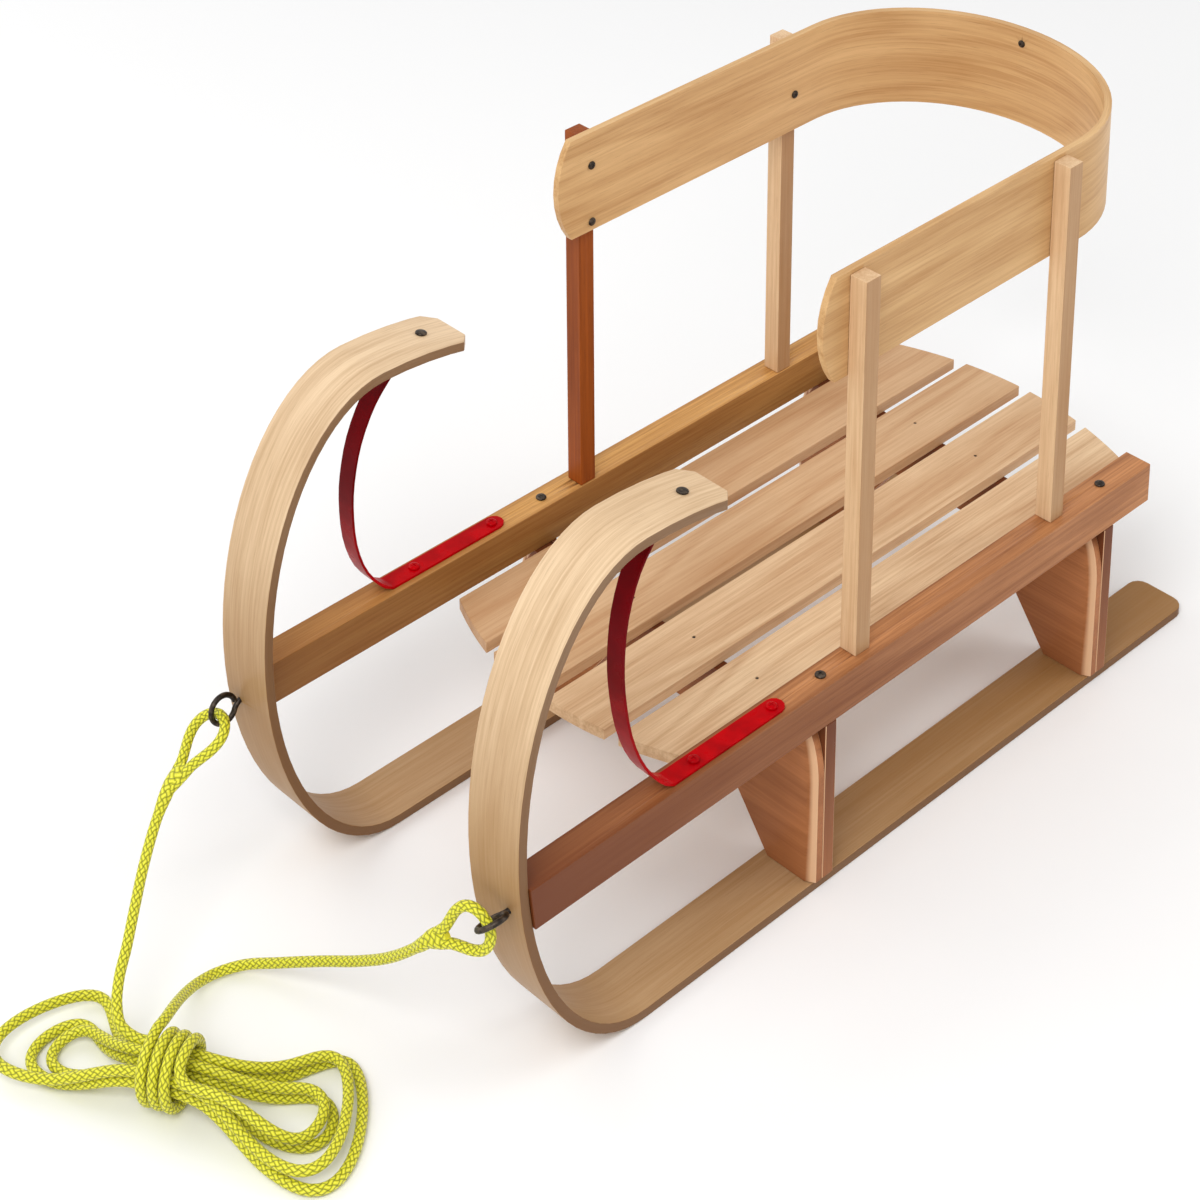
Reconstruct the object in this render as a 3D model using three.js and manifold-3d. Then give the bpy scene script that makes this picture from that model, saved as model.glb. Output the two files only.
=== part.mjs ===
// Wooden pull sled for a small child: two bent runners, a slatted seat on two arched
// bolsters, side rails, a bent back band on four posts, two steel straps and a pull rope.
//
// Millimetres. +Z is up, the nose points along -Y, and right is +X, as seen from the front.
// Places along the sled are given from the front posts. The finished group is moved so that
// its origin lies on the floor, in the middle of the sled without its rope.

import * as THREE from 'three';
import { mergeVertices } from 'three/addons/utils/BufferGeometryUtils.js';
import Module from 'manifold-3d';

// Clearances
const gap = 0.3; // between pieces that touch
const overrun = 5; // of a cutting tool past the piece that it cuts

// Runners
const runnerWidth = 52;
const runnerThickness = 8;
const runnerRecess = 2; // of a runner's outer edge from the rail's outer face
const runnerTail = 426;
const curlStart = -236; // where the curl leaves the floor
const curlReach = 122; // how far the curl runs ahead of that
const curlHeight = 416;
const tipReach = 89; // how far the tip runs back from the top of the curl
const tipDrop = 11;
const tipChamfer = 10;
const tailRound = 12;
const curlSteps = 36;
const tipSteps = 4;

// Bolsters
const bolsterHeight = 143.4;
const boardThickness = 12;
const blockThickness = 12;
const frontBolster = -61; // front face of the front bolster's board
const rearBolster = 283;
const crossbarHeight = 47;
const archStep = 7; // from a runner's inner edge to the foot of the arch
const archSpread = 69; // how far one side of the arch leans in up to the cross-bar
const archRound = 12;
const blockWidth = 84;
const shoulderHeight = 50; // the curved part of a board's outer edge
const shoulderInset = 14;
const shoulderShare = 0.9; // of a quarter circle's width that the shoulder sweeps through
const legChamferWidth = 8;
const legChamferDepth = 5;
const shoulderSteps = 6;
const roundSteps = 4;

// Side rails
const railWidth = 25;
const railHeight = 36;
const railOutside = 168; // from the middle of the sled to a rail's outer face
const railEnd = 355;

// Seat
const slatCount = 4;
const slatSpace = 12;
const seatSideSpace = 13; // between the outer slats and the rails
const slatThickness = 10;
const seatFront = -186;
const seatFrontArch = 31; // how far the seat's front falls back at its sides
const seatRear = 399;
const seatRearArch = 27;
const slatEndSteps = 6;

// Posts
const postSize = 16;
const postHeight = 326.7;
const postRecess = 16; // of a post's axis from the rail's outer face
const rearPosts = 238;
const tenonRadius = 5;
const tenonLength = 22;

// Back band
const bandThickness = 6;
const bandHeight = 88;
const bandAbovePosts = 3; // how far the band stands over the posts
const bandNose = -36; // its front ends
const bandNoseRound = 14; // how far an end's corners fall back
const bandBend = 266; // where its bend begins
const bandBendDepth = 126;
const bandSteps = 36;
const noseSteps = 8;

// Straps
const strapWidth = 16;
const strapThickness = 2.2;
const strapFootRecess = 12; // of its axis from the rail's outer face
const strapHeadRecess = 25; // of its axis from the runner's outer edge, under the tip
const strapFootEnd = -86;
const strapFootBend = -206;
const strapHeadStart = -157;
const strapHeadBend = -200;
const strapBow = 49; // how far it bows forward of its upper bend
// Share of the way down, and share of the bow
const strapBowShares = [
  [0.06, 0.29], [0.15, 0.61], [0.28, 0.86], [0.42, 0.98], [0.55, 1], [0.71, 0.92], [0.85, 0.71], [0.96, 0.37],
];
const strapSteps = 24;
const strapEndSteps = 6;

// Screws: shank radius, head radius, head height, length under the head
const railScrew = { shank: 2.2, head: 4.5, dome: 2.4, length: 72 };
const bandScrew = { shank: 1.6, head: 3.6, dome: 1.8, length: 18 };
const bandRearScrew = { shank: 1.2, head: 3.2, dome: 1.6, length: 4.6 };
const strapScrew = { shank: 2.0, head: 4.6, dome: 2.6, length: 24 };
const runnerScrew = { shank: 2.2, head: 4.6, sink: 3.2, length: 38, depth: 0.4 };
const nail = { shank: 0.9, head: 1.4, sink: 0.6, length: 30, depth: 0.5 };
const tipRivet = { shank: 2.2, head: 4.6, dome: 2.4, foot: 3.8, footHeight: 1.6 };
const domeRimShare = 0.33; // of a screw head's height, at its rim
const domeTopShare = 0.6; // of a screw head's radius, at its flat top
const screwSides = 10;
const nailSides = 6;
const frontBandScrewHeights = [59, 8]; // over the band's lower edge
const rearBandScrewHeight = 34;
const bandRearScrewPlace = -12; // from the middle of the sled
const bandRearScrewHeight = 75;
const strapScrewPlaces = [-179, -97];
const tipRivetPlace = -177;
const runnerScrewInset = 23; // from a leg block's outer face

// Screw eyes
const eyeRing = 11; // radius to the middle of the wire
const eyeWire = 2.2;
const eyeRise = 13; // over the rail's lower edge
const eyeRecess = 16; // from the rail's outer face
const eyeAhead = 15.6; // the ring's middle in front of the runner's face
const eyeShank = 45;
const eyeSides = 8;
const eyeSteps = 24;

// Rope
const ropeRadius = 4;
const ropeLay = 9; // from strand to strand where they lie side by side
const ropeLayer = 9.8; // and where one lies on the other
const ropeFloor = 4.2; // the middle of a strand that lies on the floor
const ropeSides = 8;
const hankSides = 6;
const splicePullRight = [-0.76, -0.21, -0.61]; // direction of pull at each screw eye
const splicePullLeft = [0.08, -0.83, -0.55];
const spliceBend = 16; // radius of the loop round the screw eye
const spliceThroat = 50; // where the loop closes
const spliceLength = 58; // where the bare rope begins
const spliceSeat = 4.3; // from the ring's middle to the rope that hangs in it
const throatHalf = 4.3; // half the distance between the loop's legs there
const throatRadius = 8.4;
const spliceSteps = 28;
const stretchStep = 18;

// The rope's free stretches, from each splice to the hank
const leftRoute = [
  [-139, -446, 112], [-126, -467, 94], [-112, -486, 77], [-99, -503, 62], [-88, -518, 51],
  [-76, -529, 42], [-64, -534.5, 36],
];
const rightRoute = [
  [-35, -517, 49], [-45, -503, 43], [-57, -489, 33], [-69, -474, 22], [-79, -457, 12], [-83, -438, 5.5],
  [-74, -421, 7.5], [-46, -408, 20], [-10, -396, 38], [26, -389, 58], [62, -387, 85],
];

// Hank: loops through a waist, in lanes side by side and in two layers
const waistX = -13; // from the middle of the sled
const waistY = -528;
const waistTurn = THREE.MathUtils.degToRad(27); // from the sled's width, with its right end to the rear
const waistHalf = 18; // half its straight length
const waistHeight = 27.4; // its middle above the floor
const lobeFall = 84; // how far from the waist's middle its loops reach the floor
const outerLane = 1.5 * ropeLay;
const innerLane = 0.5 * ropeLay;
const lobeSteps = 24;
const hankSteps = 180;
// Each half loop: how far it reaches from the waist's middle, and how far it bulges
const rightLobes = [
  { reach: 128, bulge: 42 }, { reach: 138, bulge: 48 },
  { reach: 118, bulge: 19 }, { reach: 112, bulge: 16.8 },
];
const leftLobes = [{ reach: 132.7, bulge: 38 }, { reach: 113.1, bulge: 19.5 }, { reach: 100, bulge: 14 }];
const rightBend = 400; // radius to which the loops on each side bend backwards
const leftBend = 210;
const laneChangeShares = [0.37, 0.83]; // where along a half loop it changes lanes

// Tie: turns round the waist
const tieRadius = 23.2;
const tieTurns = 3.08;
const tieHalf = 14; // half its length along the waist
const tieFall = 122; // how far out the rope that becomes the tie leaves the floor
const tieStart = THREE.MathUtils.degToRad(60); // forward of the top, where it begins
const tieBend = 14; // radius of the bend into the first turn
const tieSteps = 84;

// Sizes that follow
const bolsterFoot = runnerThickness + gap;
const bolsterTop = bolsterFoot + bolsterHeight;
const seatBottom = bolsterTop + gap;
const seatTop = seatBottom + slatThickness;
const railTop = seatBottom + railHeight;
const railInside = railOutside - railWidth;
const railMiddle = railOutside - railWidth / 2;
const blockFace = boardThickness + gap; // a block's front face behind its board's
const seatHalf = railInside - seatSideSpace;
const slatWidth = (2 * seatHalf - (slatCount - 1) * slatSpace) / slatCount;
const runnerFarEdge = railOutside - runnerRecess;
const runnerInside = runnerFarEdge - runnerWidth;
const archFoot = runnerInside + archStep; // half the arch's width at the runners
const archTop = archFoot - archSpread; // and under the cross-bar
const blockInside = railOutside - blockWidth;
const postMiddle = railOutside - postRecess;
const strapFootMiddle = railOutside - strapFootRecess;
const strapHeadMiddle = runnerFarEdge - strapHeadRecess;
const eyeMiddle = railOutside - eyeRecess;
const eyeHeight = seatBottom + eyeRise;
const postTop = railTop + gap + postHeight;
const bandTop = postTop + bandAbovePosts;
const bandBottom = bandTop - bandHeight;
const bandOutside = postMiddle - postSize / 2 - gap;
const tipRadius = (tipReach ** 2 + tipDrop ** 2) / (2 * tipDrop);
const strapFootHeight = railTop + gap + strapThickness / 2;
const strapTop = railTop + gap + strapThickness; // of its foot, on the rail
const ropeDiameter = 2 * ropeRadius;
const waistWay = new THREE.Vector3(Math.cos(waistTurn), Math.sin(waistTurn), 0);
const waistBack = new THREE.Vector3(-Math.sin(waistTurn), Math.cos(waistTurn), 0);

// Finishes
const finish = (color, roughness, metalness = 0) => (
  new THREE.MeshStandardMaterial({ color, roughness, metalness })
);
const runnerWood = () => finish(0xcfa77a, 0.45);
const railWood = () => finish(0xa96f47, 0.45);
const bolsterWood = () => finish(0xaa6e4b, 0.5);
const slatWood = () => finish(0xcdaa7d, 0.45);
const postWood = () => finish(0xe0be96, 0.5);
const bandWood = () => finish(0xc8a06e, 0.45);
const redPaint = () => finish(0xa0000f, 0.25, 0.2);
const darkSteel = () => finish(0x241f1c, 0.4, 0.8);
const yellowRope = () => finish(0xebe128, 0.75);

const sled = new THREE.Group();

function addPiece(name, geometry, material, place = new THREE.Matrix4(), parent = sled) {
  const mesh = new THREE.Mesh(geometry, material);
  mesh.name = name;
  mesh.applyMatrix4(place);
  parent.add(mesh);
  return mesh;
}

// Solids

// Welds a geometry's corners and leaves out the triangles that vanish at a pole.
function weld(geometry) {
  const bare = geometry.clone();
  bare.deleteAttribute('normal');
  bare.deleteAttribute('uv');
  const welded = mergeVertices(bare);
  const corners = welded.index.array;
  const kept = [];
  for (let i = 0; i < corners.length; i += 3) {
    const [a, b, c] = corners.slice(i, i + 3);
    if (a !== b && b !== c && c !== a) kept.push(a, b, c);
  }
  welded.setIndex(kept);
  welded.computeVertexNormals();
  return welded;
}

const wasm = await Module();
wasm.setup();

function toSolid(geometry) {
  const welded = weld(geometry);
  const vertProperties = new Float32Array(welded.attributes.position.array);
  const triVerts = new Uint32Array(welded.index.array);
  return new wasm.Manifold(new wasm.Mesh({ numProp: 3, vertProperties, triVerts }));
}

function toGeometry(solid) {
  const mesh = solid.getMesh();
  const geometry = new THREE.BufferGeometry();
  geometry.setAttribute('position', new THREE.BufferAttribute(mesh.vertProperties, 3));
  geometry.setIndex(new THREE.BufferAttribute(mesh.triVerts, 1));
  geometry.computeVertexNormals();
  return geometry;
}

function cut(geometry, ...tools) {
  return toGeometry(tools.reduce((solid, tool) => solid.subtract(toSolid(tool)), toSolid(geometry)));
}

function join(first, second) {
  return toGeometry(toSolid(first).add(toSolid(second)));
}

function trim(geometry, keeper) {
  return toGeometry(toSolid(geometry).intersect(toSolid(keeper)));
}

const v2 = (x, y) => new THREE.Vector2(x, y);
const v3 = (x, y, z) => new THREE.Vector3(x, y, z);
const mix = THREE.MathUtils.lerp;

function extrude(outline, from, to) {
  const low = Math.min(from, to);
  const depth = Math.abs(to - from);
  const face = new THREE.Shape(outline);
  return new THREE.ExtrudeGeometry(face, { depth, bevelEnabled: false }).translate(0, 0, low);
}

// Plates from an outline in (y, z), (x, z) or (x, y)
function plateAlongX(outline, from, to) {
  const turn = new THREE.Matrix4().makeBasis(v3(0, 1, 0), v3(0, 0, 1), v3(1, 0, 0));
  return extrude(outline, from, to).applyMatrix4(turn);
}

function plateAlongY(outline, from, to) {
  const turn = new THREE.Matrix4().makeBasis(v3(1, 0, 0), v3(0, 0, 1), v3(0, -1, 0));
  return extrude(outline, -from, -to).applyMatrix4(turn);
}

function plateAlongZ(outline, from, to) {
  return extrude(outline, from, to);
}

// Points on an ellipse's arc, with the angles in shares of half a turn
function arc(centre, radiusX, radiusY, fromShare, toShare, steps) {
  return Array.from({ length: steps + 1 }, (_, i) => {
    const angle = Math.PI * mix(fromShare, toShare, i / steps);
    return v2(centre.x + radiusX * Math.cos(angle), centre.y + radiusY * Math.sin(angle));
  });
}

// A copy of an open path, moved to its left by a distance
function offsetPath(path, distance) {
  const ways = path.slice(1).map((point, i) => point.clone().sub(path[i]).normalize());
  return path.map((point, i) => {
    const before = ways[Math.max(i - 1, 0)];
    const after = ways[Math.min(i, ways.length - 1)];
    const normal = v2(-before.y - after.y, before.x + after.x).normalize();
    const spread = normal.y * before.x - normal.x * before.y;
    return point.clone().addScaledVector(normal, distance / spread);
  });
}

// The height or place at which a path in (y, z) crosses a height
function crossing(path, height) {
  const i = path.findIndex((point, k) => k > 0 && (point.y - height) * (path[k - 1].y - height) <= 0);
  const share = (height - path[i - 1].y) / (path[i].y - path[i - 1].y);
  return mix(path[i - 1].x, path[i].x, share);
}

function band(path, thickness) {
  return [...path, ...offsetPath(path, thickness).reverse()];
}

// A solid turned round Z from [radius, height] pairs that start and end on the axis
function turned(profile, sides) {
  const line = profile.map(([radius, height]) => v2(radius, height));
  return new THREE.LatheGeometry(line, sides).rotateX(Math.PI / 2);
}

const roundScrew = ({ shank, head, dome, length }) => turned([
  [0, -length], [shank, -length], [shank, gap], [head, gap],
  [head, gap + dome * domeRimShare], [head * domeTopShare, gap + dome], [0, gap + dome],
], screwSides);

const roundScrewHole = ({ shank, length }) => turned([
  [0, -length - gap], [shank + gap, -length - gap], [shank + gap, overrun], [0, overrun],
], screwSides);

const sunkScrew = ({ shank, head, sink, length, depth }, sides) => turned([
  [0, -length], [shank, -length], [shank, -depth - sink], [head, -depth], [0, -depth],
], sides);

const sunkScrewHole = ({ shank, head, sink, length, depth }, sides) => turned([
  [0, -length - gap], [shank + gap, -length - gap], [shank + gap, -depth - sink - gap],
  [head + gap, -depth - gap], [head + gap, overrun], [0, overrun],
], sides);

// Places a screw's head at a point, with its axis pointing out along a direction
function placeAt(point, direction) {
  const turn = new THREE.Quaternion().setFromUnitVectors(v3(0, 0, 1), direction.clone().normalize());
  return new THREE.Matrix4().compose(point, turn, v3(1, 1, 1));
}

const up = v3(0, 0, 1);
const down = v3(0, 0, -1);
const sides = [{ name: 'right', sign: 1 }, { name: 'left', sign: -1 }];
const bolsters = [{ name: 'front', place: frontBolster }, { name: 'rear', place: rearBolster }];
const postPlaces = [{ name: 'front', place: 0 }, { name: 'rear', place: rearPosts }];

// Runners

const curlMiddle = v2(curlStart, curlHeight / 2);
const tipCentre = v2(curlStart, curlHeight - tipRadius);
const tipSpan = Math.asin(tipReach / tipRadius) / Math.PI;
const runnerOutside = [
  ...arc(tipCentre, tipRadius, tipRadius, 0.5 - tipSpan, 0.5, tipSteps).slice(0, -1),
  ...arc(curlMiddle, curlReach, curlHeight / 2, 0.5, 1.5, curlSteps),
  v2(runnerTail, 0),
];
const runnerInsideFace = offsetPath(runnerOutside, runnerThickness);
const tipEnd = curlStart + tipReach;

function runnerScrewPlaces(sign) {
  return bolsters.map(({ place }) => {
    const middle = place + blockFace + blockThickness / 2;
    return placeAt(v3(sign * (railOutside - runnerScrewInset), middle, 0), down);
  });
}

function runnerScrewHoles(sign) {
  return runnerScrewPlaces(sign).map((place) => sunkScrewHole(runnerScrew, screwSides).applyMatrix4(place));
}

function eyePlace(sign) {
  const front = crossing(runnerOutside.slice(tipSteps + 1), eyeHeight) - eyeAhead;
  return v3(sign * eyeMiddle, front, eyeHeight);
}

function eyeHole(sign) {
  const start = eyePlace(sign);
  const length = eyeRing + eyeShank;
  const profile = [[0, 0], [eyeWire + gap, 0], [eyeWire + gap, length + gap], [0, length + gap]];
  return turned(profile, screwSides).applyMatrix4(placeAt(start, v3(0, 1, 0)));
}

function rivetPlace(sign, radius) {
  const lean = Math.asin((tipRivetPlace - curlStart) / tipRadius);
  const direction = v3(0, Math.sin(lean), Math.cos(lean));
  const point = v3(sign * strapHeadMiddle, tipCentre.x, tipCentre.y).addScaledVector(direction, radius);
  return placeAt(point, direction);
}

function rivetHole(sign) {
  const reach = tipRivet.shank + gap;
  const depth = runnerThickness + gap + strapThickness + overrun;
  const profile = [[0, -depth], [reach, -depth], [reach, overrun], [0, overrun]];
  return turned(profile, screwSides).applyMatrix4(rivetPlace(sign, tipRadius));
}

function tipCorners(near, far) {
  const triangle = (x, way) => plateAlongZ([
    v2(x + way * overrun, tipEnd + overrun),
    v2(x - way * (tipChamfer + overrun), tipEnd + overrun),
    v2(x + way * overrun, tipEnd - tipChamfer - overrun),
  ], curlHeight - tipDrop - runnerThickness - overrun, curlHeight + overrun);
  return [triangle(near, -1), triangle(far, 1)];
}

function tailKeeper(near, far) {
  const start = curlStart - curlReach - overrun;
  const outline = [
    v2(near, start), v2(far, start),
    ...arc(v2(far - tailRound, runnerTail - tailRound), tailRound, tailRound, 0, 0.5, roundSteps),
    ...arc(v2(near + tailRound, runnerTail - tailRound), tailRound, tailRound, 0.5, 1, roundSteps),
  ];
  return plateAlongZ(outline, -overrun, curlHeight + overrun);
}

function runner({ name, sign }) {
  const near = Math.min(sign * runnerInside, sign * (runnerInside + runnerWidth));
  const far = near + runnerWidth;
  const strip = plateAlongX(band(runnerOutside, runnerThickness), near, far);
  const holes = runnerScrewHoles(sign);
  const shaped = trim(cut(strip, ...tipCorners(near, far)), tailKeeper(near, far));
  addPiece(`runner_${name}`, cut(shaped, eyeHole(sign), rivetHole(sign), ...holes), runnerWood());
  runnerScrewPlaces(sign).forEach((place, i) => {
    addPiece(`runner_screw_${bolsters[i].name}_${name}`, sunkScrew(runnerScrew, screwSides), darkSteel(), place);
  });
}

// Bolsters

// The board's outer edge at a height over its foot
function boardEdge(height) {
  const share = Math.max(0, (height - bolsterHeight + shoulderHeight) / shoulderHeight);
  const sweep = (part) => 1 - Math.sqrt(1 - (shoulderShare * part) ** 2);
  return railOutside - shoulderInset * sweep(share) / sweep(1);
}

const archHeight = bolsterHeight - crossbarHeight;
const archSlant = Math.atan2(archHeight, archFoot - archTop);

// The right half of a board's outline in (x, z), from its arch round to its top edge
function boardHalf(inset) {
  const centre = v2(archTop - archRound * Math.tan(archSlant / 2), bolsterFoot + archHeight - archRound);
  const corner = arc(centre, archRound, archRound, 0.5, 0.5 - archSlant / Math.PI, roundSteps);
  const shoulder = Array.from({ length: shoulderSteps + 1 }, (_, i) => {
    const height = bolsterHeight - shoulderHeight * (1 - i / shoulderSteps);
    return v2(boardEdge(height) - inset, bolsterFoot + height);
  });
  return [...corner, v2(archFoot, bolsterFoot), v2(railOutside - inset, bolsterFoot), ...shoulder];
}

// A solid through outlines in (x, z) with as many points each, from front to back
function loftAlongY(layers) {
  const count = layers[0].outline.length;
  const positions = layers.flatMap(({ at, outline }) => outline.flatMap((point) => [point.x, at, point.y]));
  const index = [];
  for (let layer = 0; layer + 1 < layers.length; layer += 1) {
    for (let i = 0; i < count; i += 1) {
      const a = layer * count + i;
      const b = layer * count + ((i + 1) % count);
      index.push(a, a + count, b, b, a + count, b + count);
    }
  }
  const last = (layers.length - 1) * count;
  for (const [a, b, c] of THREE.ShapeUtils.triangulateShape(layers[0].outline, [])) index.push(a, b, c);
  for (const [a, b, c] of THREE.ShapeUtils.triangulateShape(layers.at(-1).outline, [])) {
    index.push(last + a, last + c, last + b);
  }
  const geometry = new THREE.BufferGeometry();
  geometry.setAttribute('position', new THREE.Float32BufferAttribute(positions, 3));
  geometry.setIndex(index);
  geometry.computeVertexNormals();
  return geometry;
}

function boardOutline(inset) {
  const half = boardHalf(inset);
  return [...half, ...half.map((point) => v2(-point.x, point.y)).reverse()];
}

function railScrewPlace(sign, bolster) {
  return placeAt(v3(sign * railMiddle, bolster + blockFace + blockThickness / 2, railTop), up);
}

function nailPlaces(bolster) {
  return slatMiddles.map((x) => placeAt(v3(x, bolster + boardThickness / 2, seatTop), up));
}

function bolster({ name, place }) {
  const board = loftAlongY([
    { at: place, outline: boardOutline(legChamferWidth) },
    { at: place + legChamferDepth, outline: boardOutline(0) },
    { at: place + boardThickness, outline: boardOutline(0) },
  ]);
  const nailHoles = nailPlaces(place).map((spot) => sunkScrewHole(nail, nailSides).applyMatrix4(spot));
  addPiece(`${name}_bolster`, cut(board, ...nailHoles), bolsterWood());
  for (const side of sides) legBlock(name, place, side);
}

function legBlock(bolsterName, bolsterPlace, { name, sign }) {
  const slantTop = bolsterFoot + archHeight * (archFoot - blockInside) / (archFoot - archTop);
  const outline = [
    v2(archFoot, bolsterFoot), v2(railOutside, bolsterFoot), v2(railOutside, bolsterTop),
    v2(blockInside, bolsterTop), v2(blockInside, slantTop),
  ].map((point) => v2(sign * point.x, point.y));
  const front = bolsterPlace + blockFace;
  const block = plateAlongY(outline, front, front + blockThickness);
  const fromAbove = roundScrewHole(railScrew).applyMatrix4(railScrewPlace(sign, bolsterPlace));
  const fromBelow = runnerScrewHoles(sign);
  addPiece(`leg_block_${bolsterName}_${name}`, cut(block, fromAbove, ...fromBelow), bolsterWood());
}

// Side rails

const footScrewSpots = (sign) => strapScrewPlaces.map((y) => v3(sign * strapFootMiddle, y, strapTop));

function footScrewHoles(sign) {
  return footScrewSpots(sign).map((spot) => roundScrewHole(strapScrew).applyMatrix4(placeAt(spot, up)));
}

function rail({ name, sign }) {
  const outline = [
    v2(crossing(runnerInsideFace.slice(tipSteps + 1), seatBottom) + gap, seatBottom), v2(railEnd, seatBottom),
    v2(railEnd, railTop), v2(crossing(runnerInsideFace.slice(tipSteps + 1), railTop) + gap, railTop),
  ];
  const bar = plateAlongX(outline, sign * railInside, sign * railOutside);
  const mortises = postPlaces.map(({ place }) => tenonHole(v3(sign * postMiddle, place, railTop)));
  const railHoles = bolsters.map(({ place }) => (
    roundScrewHole(railScrew).applyMatrix4(railScrewPlace(sign, place))
  ));
  const strapHoles = footScrewHoles(sign);
  addPiece(`side_rail_${name}`, cut(bar, eyeHole(sign), ...mortises, ...railHoles, ...strapHoles), railWood());
  bolsters.forEach((bolsterAt) => {
    const place = railScrewPlace(sign, bolsterAt.place);
    addPiece(`rail_screw_${bolsterAt.name}_${name}`, roundScrew(railScrew), darkSteel(), place);
  });
}

// Seat

const slatMiddles = Array.from({ length: slatCount }, (_, i) => (
  (i - (slatCount - 1) / 2) * (slatWidth + slatSpace)
));

function slat(middle, number) {
  const across = Array.from(
    { length: slatEndSteps + 1 }, (_, i) => middle + slatWidth * (i / slatEndSteps - 0.5),
  );
  const front = across.map((x) => v2(x, seatFront + seatFrontArch * (x / seatHalf) ** 2));
  const rear = across.map((x) => v2(x, seatRear - seatRearArch * (x / seatHalf) ** 2)).reverse();
  const board = plateAlongZ([...front, ...rear], seatBottom, seatTop);
  const holes = bolsters.map(({ place }) => (
    sunkScrewHole(nail, nailSides).applyMatrix4(placeAt(v3(middle, place + boardThickness / 2, seatTop), up))
  ));
  addPiece(`seat_slat_${number}`, cut(board, ...holes), slatWood());
}

function nails({ name, place }) {
  nailPlaces(place).forEach((spot, i) => {
    addPiece(`slat_nail_${name}_${i + 1}`, sunkScrew(nail, nailSides), darkSteel(), spot);
  });
}

// Posts

function tenon(radius, length) {
  return new THREE.CylinderGeometry(radius, radius, length + overrun, screwSides)
    .rotateX(Math.PI / 2).translate(0, 0, (overrun - length) / 2);
}

function tenonHole(spot) {
  return tenon(tenonRadius + gap, tenonLength + gap).translate(spot.x, spot.y, spot.z);
}

function bandScrewPlace(sign, post, height) {
  return placeAt(v3(sign * (bandOutside - bandThickness), post, bandBottom + height), v3(-sign, 0, 0));
}

function postScrewHeights(name) {
  return name === 'front' ? frontBandScrewHeights : [rearBandScrewHeight];
}

function post({ name: end, place }, { name, sign }) {
  const stick = new THREE.BoxGeometry(postSize, postSize, postHeight).translate(0, 0, postHeight / 2);
  const foot = tenon(tenonRadius, tenonLength - gap);
  const whole = join(stick, foot).translate(sign * postMiddle, place, railTop + gap);
  const holes = postScrewHeights(end).map((height) => (
    roundScrewHole(bandScrew).applyMatrix4(bandScrewPlace(sign, place, height))
  ));
  addPiece(`post_${end}_${name}`, cut(whole, ...holes), postWood());
}

// Back band

function backBand() {
  const bend = arc(v2(0, bandBend), bandOutside, bandBendDepth, 0, 1, bandSteps);
  const path = [v2(bandOutside, bandNose), ...bend, v2(-bandOutside, bandNose)];
  const strip = plateAlongZ(band(path, bandThickness), bandBottom, bandTop);
  const noseRadius = (bandNoseRound ** 2 + (bandHeight / 2) ** 2) / (2 * bandNoseRound);
  const noseShare = Math.asin(bandHeight / 2 / noseRadius) / Math.PI;
  const nose = v2(bandNose + noseRadius, (bandBottom + bandTop) / 2);
  const side = [
    ...arc(nose, noseRadius, noseRadius, 1 - noseShare, 1 + noseShare, noseSteps),
    v2(bandBend + bandBendDepth + overrun, bandBottom), v2(bandBend + bandBendDepth + overrun, bandTop),
  ];
  const keeper = plateAlongX(side, -bandOutside - overrun, bandOutside + overrun);
  const holes = sides.flatMap(({ sign }) => postPlaces.flatMap(({ name, place }) => (
    postScrewHeights(name).map((height) => (
      roundScrewHole(bandScrew).applyMatrix4(bandScrewPlace(sign, place, height))
    ))
  )));
  const rearHole = roundScrewHole(bandRearScrew).applyMatrix4(bandRearPlace());
  addPiece('back_band', cut(trim(strip, keeper), rearHole, ...holes), bandWood());
}

// The place on the band's rear inner face where the extra screw sits, square to the face
function bandRearPlace() {
  const inside = v2(bandOutside - bandThickness, bandBendDepth - bandThickness);
  const turn = Math.acos(bandRearScrewPlace / inside.x);
  const point = v3(bandRearScrewPlace, bandBend + inside.y * Math.sin(turn), bandBottom + bandRearScrewHeight);
  return placeAt(point, v3(-Math.cos(turn) / inside.x, -Math.sin(turn) / inside.y, 0));
}

function bandScrews() {
  for (const { name: side, sign } of sides) {
    for (const { name: end, place } of postPlaces) {
      postScrewHeights(end).forEach((height, i) => {
        const spot = bandScrewPlace(sign, place, height);
        addPiece(`band_screw_${end}_${side}_${i + 1}`, roundScrew(bandScrew), darkSteel(), spot);
      });
    }
  }
  addPiece('band_screw_rear', roundScrew(bandRearScrew), darkSteel(), bandRearPlace());
}

// Straps

const strapHeadRadius = tipRadius - runnerThickness - gap - strapThickness / 2;

function onStrapHead(y) {
  return v2(y, tipCentre.y + Math.sqrt(strapHeadRadius ** 2 - (y - tipCentre.x) ** 2));
}

function strapPath() {
  const head = [0, 0.5, 1].map((share) => onStrapHead(mix(strapHeadStart, strapHeadBend, share)));
  const bend = head.at(-1);
  const fall = bend.y - strapFootHeight;
  const bow = strapBowShares.map(([drop, reach]) => v2(bend.x - strapBow * reach, bend.y - fall * drop));
  const foot = v2(strapFootBend, strapFootHeight);
  const curve = new THREE.SplineCurve([bend, ...bow, foot]).getPoints(strapSteps);
  return [...head.slice(0, -1), ...curve, v2(strapFootEnd, strapFootHeight)];
}

// Leans a strap in towards the middle of the sled as it rises
function lean(geometry, sign) {
  const places = geometry.attributes.position;
  const rise = onStrapHead(strapHeadBend).y - strapFootHeight;
  for (let i = 0; i < places.count; i += 1) {
    const share = Math.max(0, (places.getZ(i) - strapTop) / rise);
    places.setX(i, places.getX(i) + sign * share * (strapHeadMiddle - strapFootMiddle));
  }
  return geometry;
}

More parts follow.
